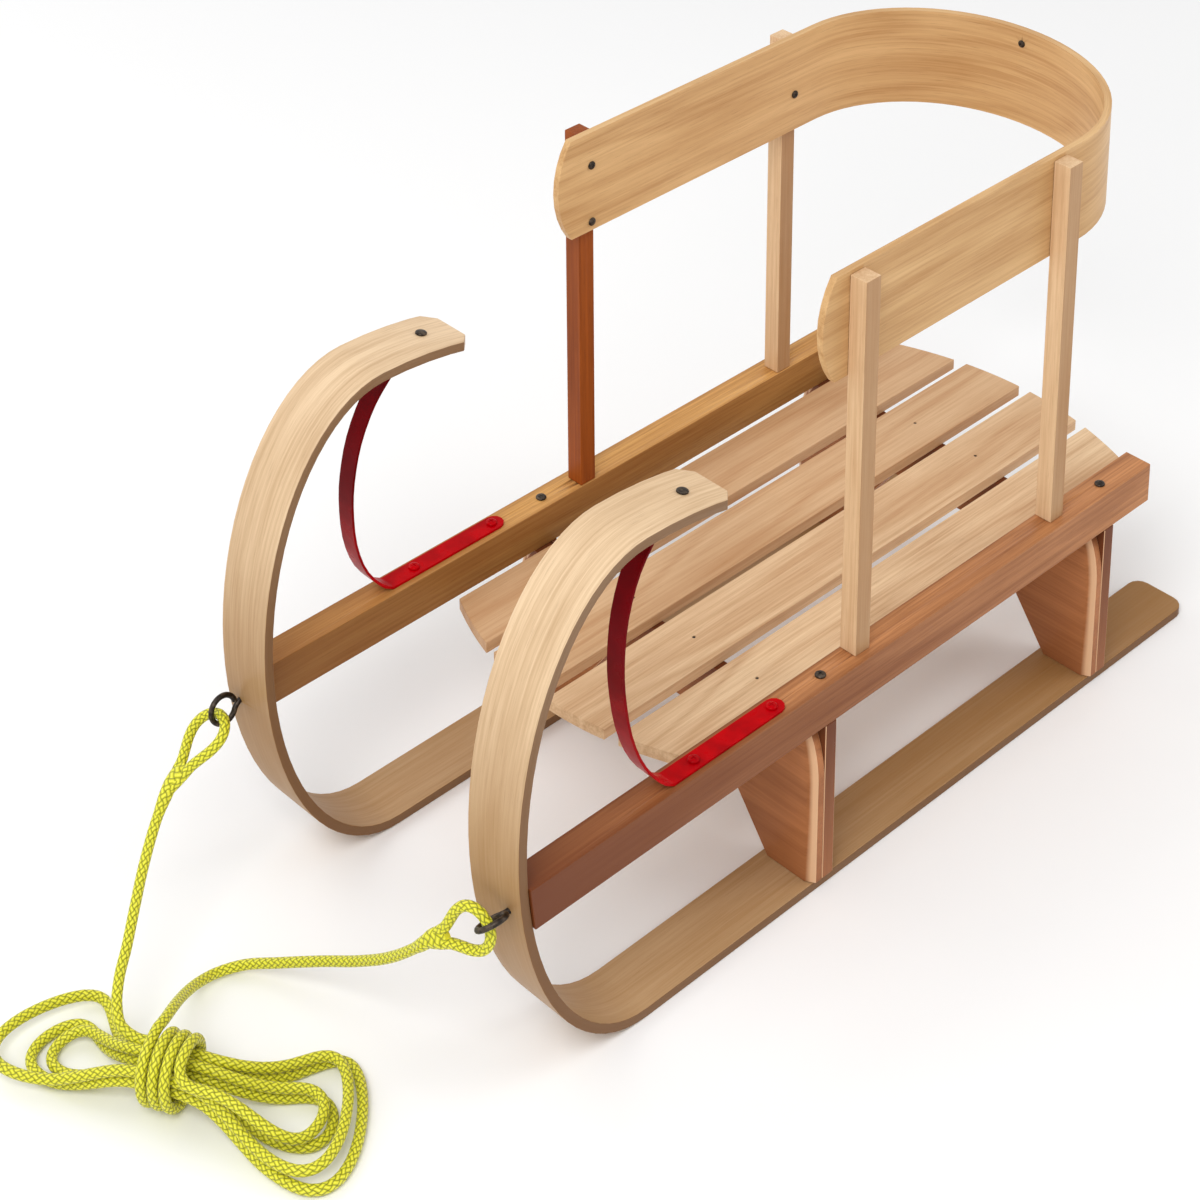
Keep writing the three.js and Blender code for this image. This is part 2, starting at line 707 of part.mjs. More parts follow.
function strap({ name, sign }) {
  const middle = sign * strapFootMiddle;
  const half = strapWidth / 2;
  const centred = offsetPath(strapPath(), -strapThickness / 2);
  const strip = plateAlongX(band(centred, strapThickness), middle - half, middle + half);
  const round = arc(v2(middle, strapFootEnd - half), half, half, 0, 1, strapEndSteps);
  const front = curlStart - curlReach;
  const plan = [v2(middle - half, front), v2(middle + half, front), ...round];
  const rounded = trim(strip, plateAlongZ(plan, -overrun, curlHeight));
  const holes = footScrewHoles(sign);
  addPiece(`strap_${name}`, cut(lean(rounded, sign), rivetHole(sign), ...holes), redPaint());
  footScrewSpots(sign).forEach((spot, i) => {
    addPiece(`strap_screw_${i + 1}_${name}`, roundScrew(strapScrew), redPaint(), placeAt(spot, up));
  });
  addPiece(`tip_rivet_${name}`, rivet(), darkSteel(), rivetPlace(sign, tipRadius));
}

function rivet() {
  const { shank, head, dome, foot, footHeight } = tipRivet;
  const grip = runnerThickness + gap + strapThickness + gap;
  return turned([
    [0, -grip - footHeight], [foot, -grip - footHeight], [foot, -grip], [shank, -grip], [shank, gap], [head, gap],
    [head, gap + dome * domeRimShare], [head * domeTopShare, gap + dome], [0, gap + dome],
  ], screwSides);
}

// Screw eyes

// The ring lies in the plane of its shank and of the rope's pull.
function ringNormal(pull) {
  return v3(0, 1, 0).cross(v3(...pull)).normalize();
}

function screwEye({ name, sign, pull }) {
  const normal = ringNormal(pull);
  const ring = new THREE.TorusGeometry(eyeRing, eyeWire, eyeSides, eyeSteps)
    .applyQuaternion(new THREE.Quaternion().setFromUnitVectors(up, normal));
  const profile = [[0, eyeRing], [eyeWire, eyeRing], [eyeWire, eyeRing + eyeShank], [0, eyeRing + eyeShank]];
  const shank = turned(profile, screwSides).applyMatrix4(placeAt(v3(0, 0, 0), v3(0, 1, 0)));
  const place = new THREE.Matrix4().setPosition(eyePlace(sign));
  addPiece(`screw_eye_${name}`, join(ring, shank), darkSteel(), place);
}

// Rope

const rope = new THREE.Group();

function tube(curve, steps, tubeSides) {
  const section = new THREE.Shape(arc(v2(0, 0), ropeRadius, ropeRadius, 0, 2, tubeSides).slice(0, -1));
  return new THREE.ExtrudeGeometry(section, { steps, extrudePath: curve, bevelEnabled: false });
}

// A splice's own axes: u along the pull, v across it along the ring's normal
function spliceFrame(sign, pull) {
  const u = v3(...pull).normalize();
  const v = ringNormal(pull);
  const start = eyePlace(sign).addScaledVector(u, spliceSeat);
  return (along, across = 0) => start.clone().addScaledVector(u, along).addScaledVector(v, across);
}

function spliceLeg(way) {
  return Array.from({ length: roundSteps }, (_, i) => {
    const share = i / roundSteps;
    const half = mix(spliceBend, throatHalf, (1 - Math.cos(Math.PI * (1 - share))) / 2);
    return [mix(spliceThroat, spliceBend, share), way * half];
  });
}

function splice({ name, sign, pull }) {
  const at = spliceFrame(sign, pull);
  const turn = arc(v2(spliceBend, 0), spliceBend, spliceBend, 0.5, 1.5, 2 * roundSteps)
    .map(({ x, y }) => [x, y]);
  const legs = [...spliceLeg(1), ...turn, ...spliceLeg(-1).reverse()];
  const loop = tube(new THREE.CatmullRomCurve3(legs.map(([u, v]) => at(u, v))), spliceSteps, ropeSides);
  const start = spliceThroat - throatRadius;
  const taper = [[0, start], [throatRadius, start], [ropeRadius, spliceLength], [0, spliceLength]];
  const cone = turned(taper, screwSides);
  const placed = cone.applyMatrix4(placeAt(at(0), v3(...pull)));
  addPiece(`rope_splice_${name}`, join(loop, placed), yellowRope(), undefined, rope);
}

function stretch(name, route) {
  const curve = new THREE.CatmullRomCurve3(route);
  const steps = Math.ceil(curve.getLength() / stretchStep);
  addPiece(`rope_stretch_${name}`, tube(curve, steps, ropeSides), yellowRope(), undefined, rope);
}

// A lane through the waist: how far out it lies, its layer's height there and on the floor,
// where its straight part begins and where it reaches the floor
const lane = (out, layer) => ({
  out,
  high: waistHeight + (layer - 0.5) * ropeLayer,
  low: ropeFloor + layer * ropeLayer,
  neck: waistHalf,
  fall: lobeFall,
});
const tieLane = {
  out: tieRadius * Math.sin(tieStart),
  high: waistHeight + tieRadius * Math.cos(tieStart),
  low: ropeFloor + ropeLayer,
  neck: tieHalf + tieBend + ropeDiameter,
  fall: tieFall,
};
const backLanes = [lane(outerLane, 1), lane(outerLane, 0), lane(innerLane, 0), lane(innerLane, 1)];
const frontLanes = [lane(outerLane, 1), lane(outerLane, 0), lane(innerLane, 0), tieLane];

const between = (from, to, share) => Object.fromEntries(
  Object.keys(from).map((key) => [key, mix(from[key], to[key], share)]),
);

// A place along and behind the waist's middle
function atWaist(along, behind, height) {
  return v3(waistX, waistY, height).addScaledVector(waistWay, along).addScaledVector(waistBack, behind);
}

// A place beside the waist's line, which bends backwards past the waist
function besideWaist(sign, along, out, height, bend) {
  const past = Math.max(0, along - waistHalf);
  const turn = past / bend;
  const reach = along - past + (bend - out) * Math.sin(turn);
  const back = bend - (bend - out) * Math.cos(turn);
  return atWaist(sign * reach, back, height);
}

// A half loop from one lane round to another. The bulge peaks at one and a half times its share.
const bulgePeak = 1.5 * Math.sqrt(3);

function lobe(sign, { reach, bulge }, from, to, bend) {
  return Array.from({ length: lobeSteps + 1 }, (_, i) => {
    const turn = Math.PI * (i / lobeSteps - 0.5);
    const at = between(from, to, THREE.MathUtils.smoothstep(i / lobeSteps, ...laneChangeShares));
    const along = at.neck + (reach - at.neck) * Math.cos(turn);
    const out = at.out * Math.sin(turn) + bulgePeak * bulge * Math.sin(turn) * Math.cos(turn) ** 2;
    const rise = 1 - THREE.MathUtils.smoothstep(along, at.neck, at.fall);
    return besideWaist(sign, along, -sign * out, mix(at.low, at.high, rise), bend);
  });
}

function waistStart(past) {
  return atWaist(-waistHalf - past, backLanes[0].out, backLanes[0].high);
}

function hankPoints() {
  const points = [waistStart(ropeDiameter), waistStart(0)];
  rightLobes.forEach((size, i) => {
    points.push(...lobe(1, size, backLanes[i], frontLanes[i], rightBend));
    if (i < leftLobes.length) points.push(...lobe(-1, leftLobes[i], frontLanes[i], backLanes[i + 1], leftBend));
  });
  const last = points.at(-1);
  return [...points, last.clone().addScaledVector(waistWay, -ropeDiameter / 2)];
}

// The tie's path on the unrolled waist: [round it, along it]
function tiePath() {
  const lead = [0, 0.5].map((share) => [0, tieHalf + tieBend + ropeDiameter * (0.5 - share) - gap]);
  const bend = arc(v2(tieBend, tieHalf + tieBend), tieBend, tieBend, 1, 1.5, roundSteps)
    .map(({ x, y }) => [x, y]);
  const around = 2 * Math.PI * tieRadius * tieTurns;
  const turns = Array.from({ length: tieSteps }, (_, i) => {
    const share = (i + 1) / tieSteps;
    return [tieBend + around * share, tieHalf * (1 - 2 * share)];
  });
  return [...lead, ...bend, ...turns];
}

function tiePoints() {
  return tiePath().map(([around, along]) => {
    const angle = tieStart - around / tieRadius;
    return atWaist(along, -tieRadius * Math.sin(angle), waistHeight + tieRadius * Math.cos(angle));
  });
}

// The smallest distance between two places on a rope that are not neighbours, less its diameter
function leastGap(curve) {
  const length = curve.getLength();
  const points = curve.getSpacedPoints(Math.ceil(length / ropeRadius));
  const apart = Math.ceil(Math.PI * ropeDiameter / ropeRadius);
  let least = Infinity;
  points.forEach((point, i) => {
    for (let k = i + apart; k < points.length; k += 1) least = Math.min(least, point.distanceTo(points[k]));
  });
  return least - ropeDiameter;
}

function buildRope(eyes) {
  eyes.forEach(splice);
  const hank = new THREE.CatmullRomCurve3(hankPoints());
  const tie = new THREE.CatmullRomCurve3(tiePoints());
  addPiece('rope_hank', tube(hank, hankSteps, hankSides), yellowRope(), undefined, rope);
  addPiece('rope_tie', tube(tie, tieSteps, hankSides), yellowRope(), undefined, rope);

  const [rightEye, leftEye] = eyes.map(({ sign, pull }) => spliceFrame(sign, pull));
  const leftStart = [spliceLength + gap, spliceLength + ropeDiameter].map((u) => leftEye(u));
  const leftEnd = [waistStart(2 * ropeDiameter), waistStart(ropeDiameter + gap)];
  stretch('left', [...leftStart, ...leftRoute.map((point) => v3(...point)), ...leftEnd]);

  const tieEnd = tie.getPoint(1);
  const tieWay = tie.getTangent(1);
  const rightStart = [gap, ropeDiameter].map((past) => tieEnd.clone().addScaledVector(tieWay, past));
  const rightEnd = [spliceLength + ropeDiameter, spliceLength + gap].map((u) => rightEye(u));
  stretch('right', [...rightStart, ...rightRoute.map((point) => v3(...point)), ...rightEnd]);

  console.log(`hank: least gap to itself ${leastGap(hank).toFixed(2)} mm`);
  console.log(`tie: least gap to itself ${leastGap(tie).toFixed(2)} mm`);
}

// The sled

const eyes = [{ ...sides[0], pull: splicePullRight }, { ...sides[1], pull: splicePullLeft }];

sides.forEach(runner);
bolsters.forEach(bolster);
sides.forEach(rail);
slatMiddles.forEach((middle, i) => slat(middle, i + 1));
bolsters.forEach(nails);
postPlaces.forEach((end) => sides.forEach((side) => post(end, side)));
backBand();
bandScrews();
sides.forEach(strap);
eyes.forEach(screwEye);
buildRope(eyes);

// The origin comes to the middle of the sled, measured without its rope.
const extent = new THREE.Box3().setFromObject(sled);
sled.add(rope);
sled.position.y = -(extent.min.y + extent.max.y) / 2;

export default sled;
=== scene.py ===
# Looks of a wooden pull sled for a small child: bent runners, a slatted seat, a bent back
# band, red steel straps and a yellow braided pull rope.
#
# Metres. +Z is up, the nose points along -Y, and right is +X, as seen from the front.
# Places along the sled are given from the front posts, as in the sled's construction.

import math
from collections import namedtuple
from itertools import count

import bmesh
import bpy
from mathutils import Matrix, Vector


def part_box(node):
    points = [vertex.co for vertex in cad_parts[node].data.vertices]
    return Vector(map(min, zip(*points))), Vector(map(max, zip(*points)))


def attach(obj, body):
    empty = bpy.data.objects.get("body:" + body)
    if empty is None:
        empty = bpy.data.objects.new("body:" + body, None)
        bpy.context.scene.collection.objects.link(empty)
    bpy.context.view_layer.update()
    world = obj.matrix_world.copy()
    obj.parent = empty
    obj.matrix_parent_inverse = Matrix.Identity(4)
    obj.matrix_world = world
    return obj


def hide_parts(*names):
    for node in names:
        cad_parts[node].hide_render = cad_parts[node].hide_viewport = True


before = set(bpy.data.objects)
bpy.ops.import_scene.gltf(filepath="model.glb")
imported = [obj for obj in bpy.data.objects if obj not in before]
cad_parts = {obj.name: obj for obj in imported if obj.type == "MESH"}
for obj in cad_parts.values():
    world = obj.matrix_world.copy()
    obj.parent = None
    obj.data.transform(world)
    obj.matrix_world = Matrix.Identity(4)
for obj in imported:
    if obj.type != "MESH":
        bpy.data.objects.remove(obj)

# Camera
CAMERA_LENS = 87.48  # in millimetres, on a sensor of 36
CAMERA_SENSOR = 36
CAMERA_AZIMUTH = math.radians(45.59)
CAMERA_ELEVATION = math.radians(20.21)
CAMERA_DISTANCE = 2.0045
CAMERA_TARGET = (0.0092, -0.0867, 0.9438)
CAMERA_SHIFT_SHARES = (-0.0356, -0.75)  # of the picture, whose upright edges are parallel
CAMERA_FAR = 30.0

# Runners
CURL_START = -0.236  # where the curl leaves the floor
CURL_REACH = 0.122  # how far the curl runs ahead of that
CURL_HEIGHT = 0.416
TIP_REACH = 0.089  # how far the tip runs back from the top of the curl
TIP_DROP = 0.011
RUNNER_TAIL = 0.426

# Back band
BAND_NOSE = -0.036
BAND_BEND = 0.266  # where its bend begins
BAND_BEND_DEPTH = 0.126
BAND_OUTSIDE = 0.1437
BAND_THICKNESS = 0.006
BAND_REAR_SCREW = -0.012  # from the middle of the sled
ARC_STEPS = 90

# Edges
WELD = 0.00002  # points nearer than this are one
FLAT_ANGLE = math.radians(0.6)  # faces that differ by less are one
EDGE_ANGLE = math.radians(35)
SHORTEST_EDGE = 0.0036  # a shorter one belongs to a hole
SHORTEST_BOLSTER_EDGE = 0.0024
EDGE_ROUND = 0.0012
STRAP_EDGE = 0.0004
EDGE_SEGMENTS = 2
ROUND_PROFILE = 0.5

# Grain: how often its parts come in a metre along, across and through a board
SWAY_SCALE = (2.2, 9.0, 9.0)
SWAY_REACH = (0.0, 1.6, 1.6)  # how far the sway moves the figure, in the figure's own scale
FIGURE_SCALE = (1.6, 24.0, 24.0)
STREAK_SCALE = (9.0, 420.0, 420.0)
FIBRE_SCALE = (45.0, 1900.0, 1900.0)
CLOUD_SCALE = (5.0, 22.0, 22.0)
RINGS = 9.0  # in the whole range of the figure
GRAIN_DEPTH = 0.00012  # how deep its relief looks
GRAIN_APART = 1.7  # from one board's place in the tree to the next one's, along the grain
GROUP_STEP = 3  # from the number of a group of boards to the next group's

# Paint and steel, in patches to the metre, and how deep their relief looks
PAINT_CLOUDS = 60.0
PAINT_PEEL = 900.0
PAINT_DEPTH = 0.00004
STEEL_CLOUDS = 240.0
STEEL_SCRATCHES = 2600.0
STEEL_DEPTH = 0.00004

# Screws
RAIL_DOME = 0.0024
BAND_DOME = 0.0018
STRAP_DOME = 0.0026
SCREW_SIDES = 24
RIM_SHARE = 0.3  # of a head's height
DOME_STEPS = 6
CROSS_REACH_SHARE = 0.6  # of the head's radius
CROSS_WIDTH_SHARE = 0.2
CROSS_DEPTH_SHARE = 0.6  # of the dome's height
CROSS_TAPER_SHARE = 0.8  # of the cross's size, at its bottom
CUTTER_SHARE = 2  # of the dome's height, up to which the cross's cutter stands
THREAD_PITCH = 0.0018
THREAD_DEPTH = 0.0005
CLEARANCE = 0.0003
SHANK_SHARE = 0.46  # of the head's radius
POINT_SHARE = 2  # of the shank's radius, the length of its point
RIVET_PLACE = -0.177
RIVET_MIDDLE = 0.141  # from the middle of the sled
RIVET_HEAD = 0.0046
RIVET_DOME = 0.0024
RIVET_SHANK = 0.0022
RIVET_GRIP = 0.0108
RIVET_FOOT = 0.0038
RIVET_FOOT_HEIGHT = 0.0016
REAR_SCREW_HEAD = 0.0032
REAR_SCREW_DOME = 0.0016
REAR_SCREW_LENGTH = 0.0046

# Screw eyes
EYE_RING = 0.011  # radius to the middle of the wire
EYE_WIRE = 0.0022  # its radius
EYE_SHANK = 0.045
EYE_OPEN = math.radians(22)
EYE_NECK_SHARE = 0.1  # of the shank, where its bend into the ring begins
EYE_STEPS = 40
WIRE_SIDES = 14

# Rope
ROPE_RADIUS = 0.004
ROPE_DIAMETER = 2 * ROPE_RADIUS
ROPE_LAY = 0.009  # from strand to strand where they lie side by side
ROPE_LAYER = 0.0098  # and where one lies on the other
ROPE_FLOOR = 0.0042  # the middle of a strand that lies on the floor
ROPE_SIDES = 20
CURVE_STEPS = 8  # between two of the rope's points
BUNDLES = 6  # of threads that run each way round the rope
BRAID_PITCH = 0.036  # in which a bundle goes once round
CAP_MARK = (0.5 / BUNDLES, 0)  # a cut end shows a bundle's crown
THREAD_SCALE = (60.0, 900.0, 1.0)  # patches to a turn round the rope, and to the metre along it
WEAR_SCALE = (2.0, 24.0, 1.0)
BRAID_DEPTH = 0.0006
ROPE_STEP = 0.002  # between two rings of the rope's mesh
TUCK_OUT = 0.0024  # how far beside the rope's middle a tail goes into it
TUCK_END = 0.066
SPLICE_PULL = {"right": (-0.76, -0.21, -0.61), "left": (0.08, -0.83, -0.55)}
SPLICE_BEND = 0.016  # radius of the loop round the screw eye
SPLICE_THROAT = 0.050  # where the loop closes
SPLICE_LENGTH = 0.058  # where the bare rope begins
SPLICE_SEAT = 0.0043  # from the ring's middle to the rope that hangs in it
THROAT_HALF = 0.0043  # half the distance between the loop's legs there
LEG_STEPS = 4
SLEEVE_START = 0.042
SLEEVE_END = 0.084
SLEEVE_SWELL = 0.0012
LEFT_ROUTE = [
    (-0.139, -0.446, 0.112), (-0.126, -0.467, 0.094), (-0.112, -0.486, 0.077),
    (-0.099, -0.503, 0.062), (-0.088, -0.518, 0.051), (-0.076, -0.529, 0.042),
    (-0.064, -0.5345, 0.036),
]
RIGHT_ROUTE = [
    (-0.035, -0.517, 0.049), (-0.045, -0.503, 0.043), (-0.057, -0.489, 0.033),
    (-0.069, -0.474, 0.022), (-0.079, -0.457, 0.012), (-0.083, -0.438, 0.0055),
    (-0.074, -0.421, 0.0075), (-0.046, -0.408, 0.020), (-0.010, -0.396, 0.038),
    (0.026, -0.389, 0.058), (0.062, -0.387, 0.085),
]

# Hank and its tie
WAIST_X = -0.013
WAIST_Y = -0.528
WAIST_TURN = math.radians(27)  # from the sled's width, with its right end to the rear
WAIST_HALF = 0.018  # half its straight length
WAIST_HEIGHT = 0.0274  # its middle above the floor
LOBE_FALL = 0.084  # how far from the waist's middle its loops reach the floor
OUTER_LANE = 1.5 * ROPE_LAY
INNER_LANE = 0.5 * ROPE_LAY
LOBE_STEPS = 24
# Each half loop: how far it reaches from the waist's middle, and how far it bulges
RIGHT_LOBES = [(0.128, 0.042), (0.138, 0.048), (0.118, 0.019), (0.112, 0.0168)]
LEFT_LOBES = [(0.1327, 0.038), (0.1131, 0.0195), (0.100, 0.014)]
RIGHT_BEND = 0.400  # radius to which the loops on each side bend backwards
LEFT_BEND = 0.210
LANE_CHANGE_SHARES = (0.37, 0.83)  # where along a half loop it changes lanes
BULGE_PEAK = 1.5 * math.sqrt(3)  # brings the greatest sine times squared cosine up to one
TIE_RADIUS = 0.0232
TIE_TURNS = 3.08
TIE_HALF = 0.014  # half its length along the waist
TIE_FALL = 0.122  # how far out the rope that becomes the tie leaves the floor
TIE_START = math.radians(60)  # forward of the top, where it begins
TIE_BEND = 0.014  # radius of the bend into the first turn
TIE_BEND_STEPS = 4
TIE_STEPS = 84

# Tints: how far towards the dark colour of its wood a piece goes. On the runners and on the bolsters under
# the seat the tints are painted shade.
POST_TINTS = {
    ("front", "right"): 0.0, ("rear", "right"): 0.12,
    ("front", "left"): 0.2, ("rear", "left"): 0.05,
}
DARK_POST = ("front", "left")
SLAT_TINTS = (0.45, 0.36, 0.12, 0.0)
RAIL_TINTS = {"right": (1.0, 0.15), "left": (0.6, 0.0)}  # at a rail's front end and behind the straps
RAIL_TINT_SHARE = 0.3  # of its length, over which the first passes into the second
CURL_PAINTED_SHADE = 0.8  # painted shade, low on a runner's curl, whose upper part has none
FLOOR_PART_PAINTED_SHADE = 0.55  # painted shade on its floor part, at the front
# Painted shade along the runner's rear part
TAIL_PAINTED_SHADE = 0.88
CURL_SHADE_PLACES = (-0.37, -0.22)
TAIL_SHADE_PLACES = (-0.15, 0.2)
CURL_SHADE_HEIGHTS = (0.14, 0.36)
FOOT_TINT = 0.4  # at the foot of the legs
FOOT_TINT_HEIGHTS = (0.01, 0.05)
SEAT_PAINTED_SHADE = 1.0  # where the seat shades the bolsters
SEAT_SHADE_HEIGHTS = (0.135, 0.15)
PAINT_SHADE_HEIGHTS = (0.196, 0.30)  # the heights between which painted shade darkens the straps

# Studio
FLOOR_SIZE = 12.0
FLOOR_DROP = 0.0005
LAMP_TARGET = (0.0, 0.0, 0.2)
WORLD_LIGHT = 0.62
# Each lamp's place, width and power in watts
LAMPS = {
    "key": ((0.9, -1.9, 2.4), 1.6, 42.0),
    "fill": ((-2.4, -0.9, 1.8), 2.4, 22.0),
    "rim": ((1.6, 2.0, 2.0), 1.8, 20.0),
}

SIDES = {"right": 1, "left": -1}
ENDS = ("front", "rear")
X_AXIS = Vector((1, 0, 0))
Y_AXIS = Vector((0, 1, 0))
Z_AXIS = Vector((0, 0, 1))


def save_bounds():
    """Brings the scene's placements up to date."""
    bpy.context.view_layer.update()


save_bounds()


# Places

def mix(a, b, share):
    return a + (b - a) * share


def smooth_step(value, low, high):
    share = min(max((value - low) / (high - low), 0), 1)
    return share * share * (3 - 2 * share)


def node_box(node):
    low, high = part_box(node)
    return Vector(low), Vector(high)


def middle(node):
    low, high = node_box(node)
    return (low + high) / 2


FRONT_POSTS = middle("post_front_right").y


def place(x, y, z):
    """A point given from the front posts, in the model's own frame."""
    return Vector((x, y + FRONT_POSTS, z))


# Camera

def make_camera():
    data = bpy.data.cameras.new("camera")
    data.lens = CAMERA_LENS
    data.sensor_width = CAMERA_SENSOR
    data.clip_end = CAMERA_FAR
    data.shift_x, data.shift_y = CAMERA_SHIFT_SHARES
    camera = bpy.data.objects.new("camera", data)
    bpy.context.scene.collection.objects.link(camera)
    level = math.cos(CAMERA_ELEVATION)
    back = Vector((
        math.sin(CAMERA_AZIMUTH) * level, -math.cos(CAMERA_AZIMUTH) * level, math.sin(CAMERA_ELEVATION),
    ))
    camera.location = place(*CAMERA_TARGET) + back * CAMERA_DISTANCE
    camera.rotation_euler = back.to_track_quat("Z", "Y").to_euler()
    bpy.context.scene.camera = camera


make_camera()


# Curves and tubes

def catmull_rom(four, times, time):
    def between(p, q, a, b):
        return p * ((b - time) / (b - a)) + q * ((time - a) / (b - a))
    near = [between(four[i], four[i + 1], times[i], times[i + 1]) for i in range(3)]
    far = [between(near[i], near[i + 1], times[i], times[i + 2]) for i in range(2)]
    return between(far[0], far[1], times[1], times[2])


def smooth_curve(points):
    """Points along a centripetal Catmull-Rom curve through the given ones."""
    knots = [2 * points[0] - points[1], *points, 2 * points[-1] - points[-2]]
    curve = []
    for i in range(1, len(knots) - 2):
        four = knots[i - 1:i + 3]
        times = [0]
        for a, b in zip(four, four[1:]):
            times.append(times[-1] + math.sqrt((b - a).length))
        curve += [
            catmull_rom(four, times, mix(times[1], times[2], step / CURVE_STEPS))
            for step in range(CURVE_STEPS)
        ]
    return [*curve, points[-1]]


def length_of(path):
    return sum((b - a).length for a, b in zip(path, path[1:]))


def directions(path):
    """The way that a path takes at each of its points."""
    ahead = [path[min(i + 1, len(path) - 1)] - path[max(i - 1, 0)] for i in range(len(path))]
    return [way.normalized() for way in ahead]


def tube(name, path, radius, sides, sections=None, across=None):
    """A round tube along a path, with the turn round it and the length along it as its map.

    sections, where given, holds each ring's two half widths: across, and square to that."""
    ways = directions(path)
    across = across or ways[0].orthogonal().normalized()
    bm = bmesh.new()
    chart = bm.loops.layers.uv.new("rope")
    turns = [2 * math.pi * side / sides for side in range(sides)]
    rings = []
    travelled = 0
    lengths = []
    for i, (point, way) in enumerate(zip(path, ways)):
        travelled += (point - path[max(i - 1, 0)]).length
        lengths.append(travelled)
        across = (across - way * across.dot(way)).normalized()
        upward = way.cross(across)
        half_across, half_up = sections[i] if sections else (radius, radius)
        rings.append([
            bm.verts.new(point + across * half_across * math.cos(turn) + upward * half_up * math.sin(turn))
            for turn in turns
        ])
    for i in range(len(rings) - 1):
        for side in range(sides):
            after = (side + 1) % sides
            face = bm.faces.new((rings[i][side], rings[i][after], rings[i + 1][after], rings[i + 1][side]))
            marks = [(side, i), (side + 1, i), (side + 1, i + 1), (side, i + 1)]
            for loop, (turn, step) in zip(face.loops, marks):
                loop[chart].uv = (turn / sides, lengths[step])
    for end in (rings[0][::-1], rings[-1]):
        for loop in bm.faces.new(end).loops:
            loop[chart].uv = CAP_MARK
    return to_object(name, bm)


def to_object(name, bm):
    """Turns a mesh under construction into an object with smooth faces and sharp edges."""
    mesh = bpy.data.meshes.new(name)
    bmesh.ops.recalc_face_normals(bm, faces=bm.faces)
    bm.to_mesh(mesh)
    bm.free()
    mesh.shade_smooth()
    mesh.set_sharp_from_angle(angle=EDGE_ANGLE)
    piece = bpy.data.objects.new(name, mesh)
    bpy.context.scene.collection.objects.link(piece)
    return piece


def dress(piece, slot, material, *nodes):
    """Gives a piece its material, fixes it to the sled and hides the nodes it shows. Its slot is not used.
    """
    piece.data.materials.clear()
    piece.data.materials.append(material)
    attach(piece, "root")
    if nodes:
        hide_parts(*nodes)
    return piece


# Materials

def colour(red, green, blue):
    """A colour from its values of 0 to 255 on a screen."""
    shares = [value / 255 for value in (red, green, blue)]
    linear = [share / 12.92 if share <= 0.04045 else ((share + 0.055) / 1.055) ** 2.4 for share in shares]
    return (*linear, 1)


class Nodes:
    """A material's node tree, built by calls that take numbers, colours or other sockets."""

    def __init__(self, name):
        self.material = bpy.data.materials.new(name)
        self.material.use_nodes = True
        self.tree = self.material.node_tree
        self.tree.nodes.clear()
        self.shader = self.add("ShaderNodeBsdfPrincipled")
        output = self.add("ShaderNodeOutputMaterial")
        self.tree.links.new(self.shader.outputs["BSDF"], output.inputs["Surface"])

    def add(self, kind, **settings):
        node = self.tree.nodes.new(kind)
        for key, value in settings.items():
            setattr(node, key, value)
        return node

    def put(self, socket, value):
        if isinstance(value, bpy.types.NodeSocket):
            self.tree.links.new(value, socket)
        else:
            socket.default_value = value

    def math(self, operation, *values):
        node = self.add("ShaderNodeMath", operation=operation)
        for socket, value in zip(node.inputs, values):
            self.put(socket, value)
        return node.outputs[0]

    def attribute(self, name, output="Vector"):
        return self.add("ShaderNodeAttribute", attribute_name=name).outputs[output]

    def scaled(self, vector, scale):
        node = self.add("ShaderNodeVectorMath", operation="MULTIPLY")
        self.put(node.inputs[0], vector)
        self.put(node.inputs[1], scale)
        return node.outputs[0]

    def noise(self, vector, scale=1.0, detail=2.0, roughness=0.5):
        node = self.add("ShaderNodeTexNoise")
        self.put(node.inputs["Vector"], vector)
        self.put(node.inputs["Scale"], scale)
        self.put(node.inputs["Detail"], detail)
        self.put(node.inputs["Roughness"], roughness)
        return node.outputs["Fac"]

    def ramp(self, value, *stops):
        """Maps a number to colours; each stop is a place and a colour."""
        node = self.add("ShaderNodeValToRGB")
        elements = node.color_ramp.elements
        while len(elements) < len(stops):
            elements.new(1)
        for element, (position, shade) in zip(elements, stops):
            element.position = position
            element.color = shade
        self.put(node.inputs["Fac"], value)
        return node.outputs["Color"]

    def spread(self, value, low, high, start=0.0, end=1.0):
        node = self.add("ShaderNodeMapRange")
        for socket, number in zip(node.inputs, (value, low, high, start, end)):
            self.put(socket, number)
        return node.outputs[0]

    def blend(self, share, first, second):
        node = self.add("ShaderNodeMix", data_type="RGBA")
        sockets = [socket for socket in node.inputs if socket.type == "RGBA"]
        self.put(node.inputs[0], share)
        self.put(sockets[0], first)
        self.put(sockets[1], second)
        return next(socket for socket in node.outputs if socket.type == "RGBA")

    def bump(self, height, distance, strength):
        node = self.add("ShaderNodeBump")
        self.put(node.inputs["Height"], height)
        self.put(node.inputs["Distance"], distance)
        self.put(node.inputs["Strength"], strength)
        self.put(self.shader.inputs["Normal"], node.outputs["Normal"])

    def set(self, **values):
        names = {name.lower().replace(" ", "_"): name for name in self.shader.inputs.keys()}
        for key, value in values.items():
            self.put(self.shader.inputs[names[key]], value)
        return self.material


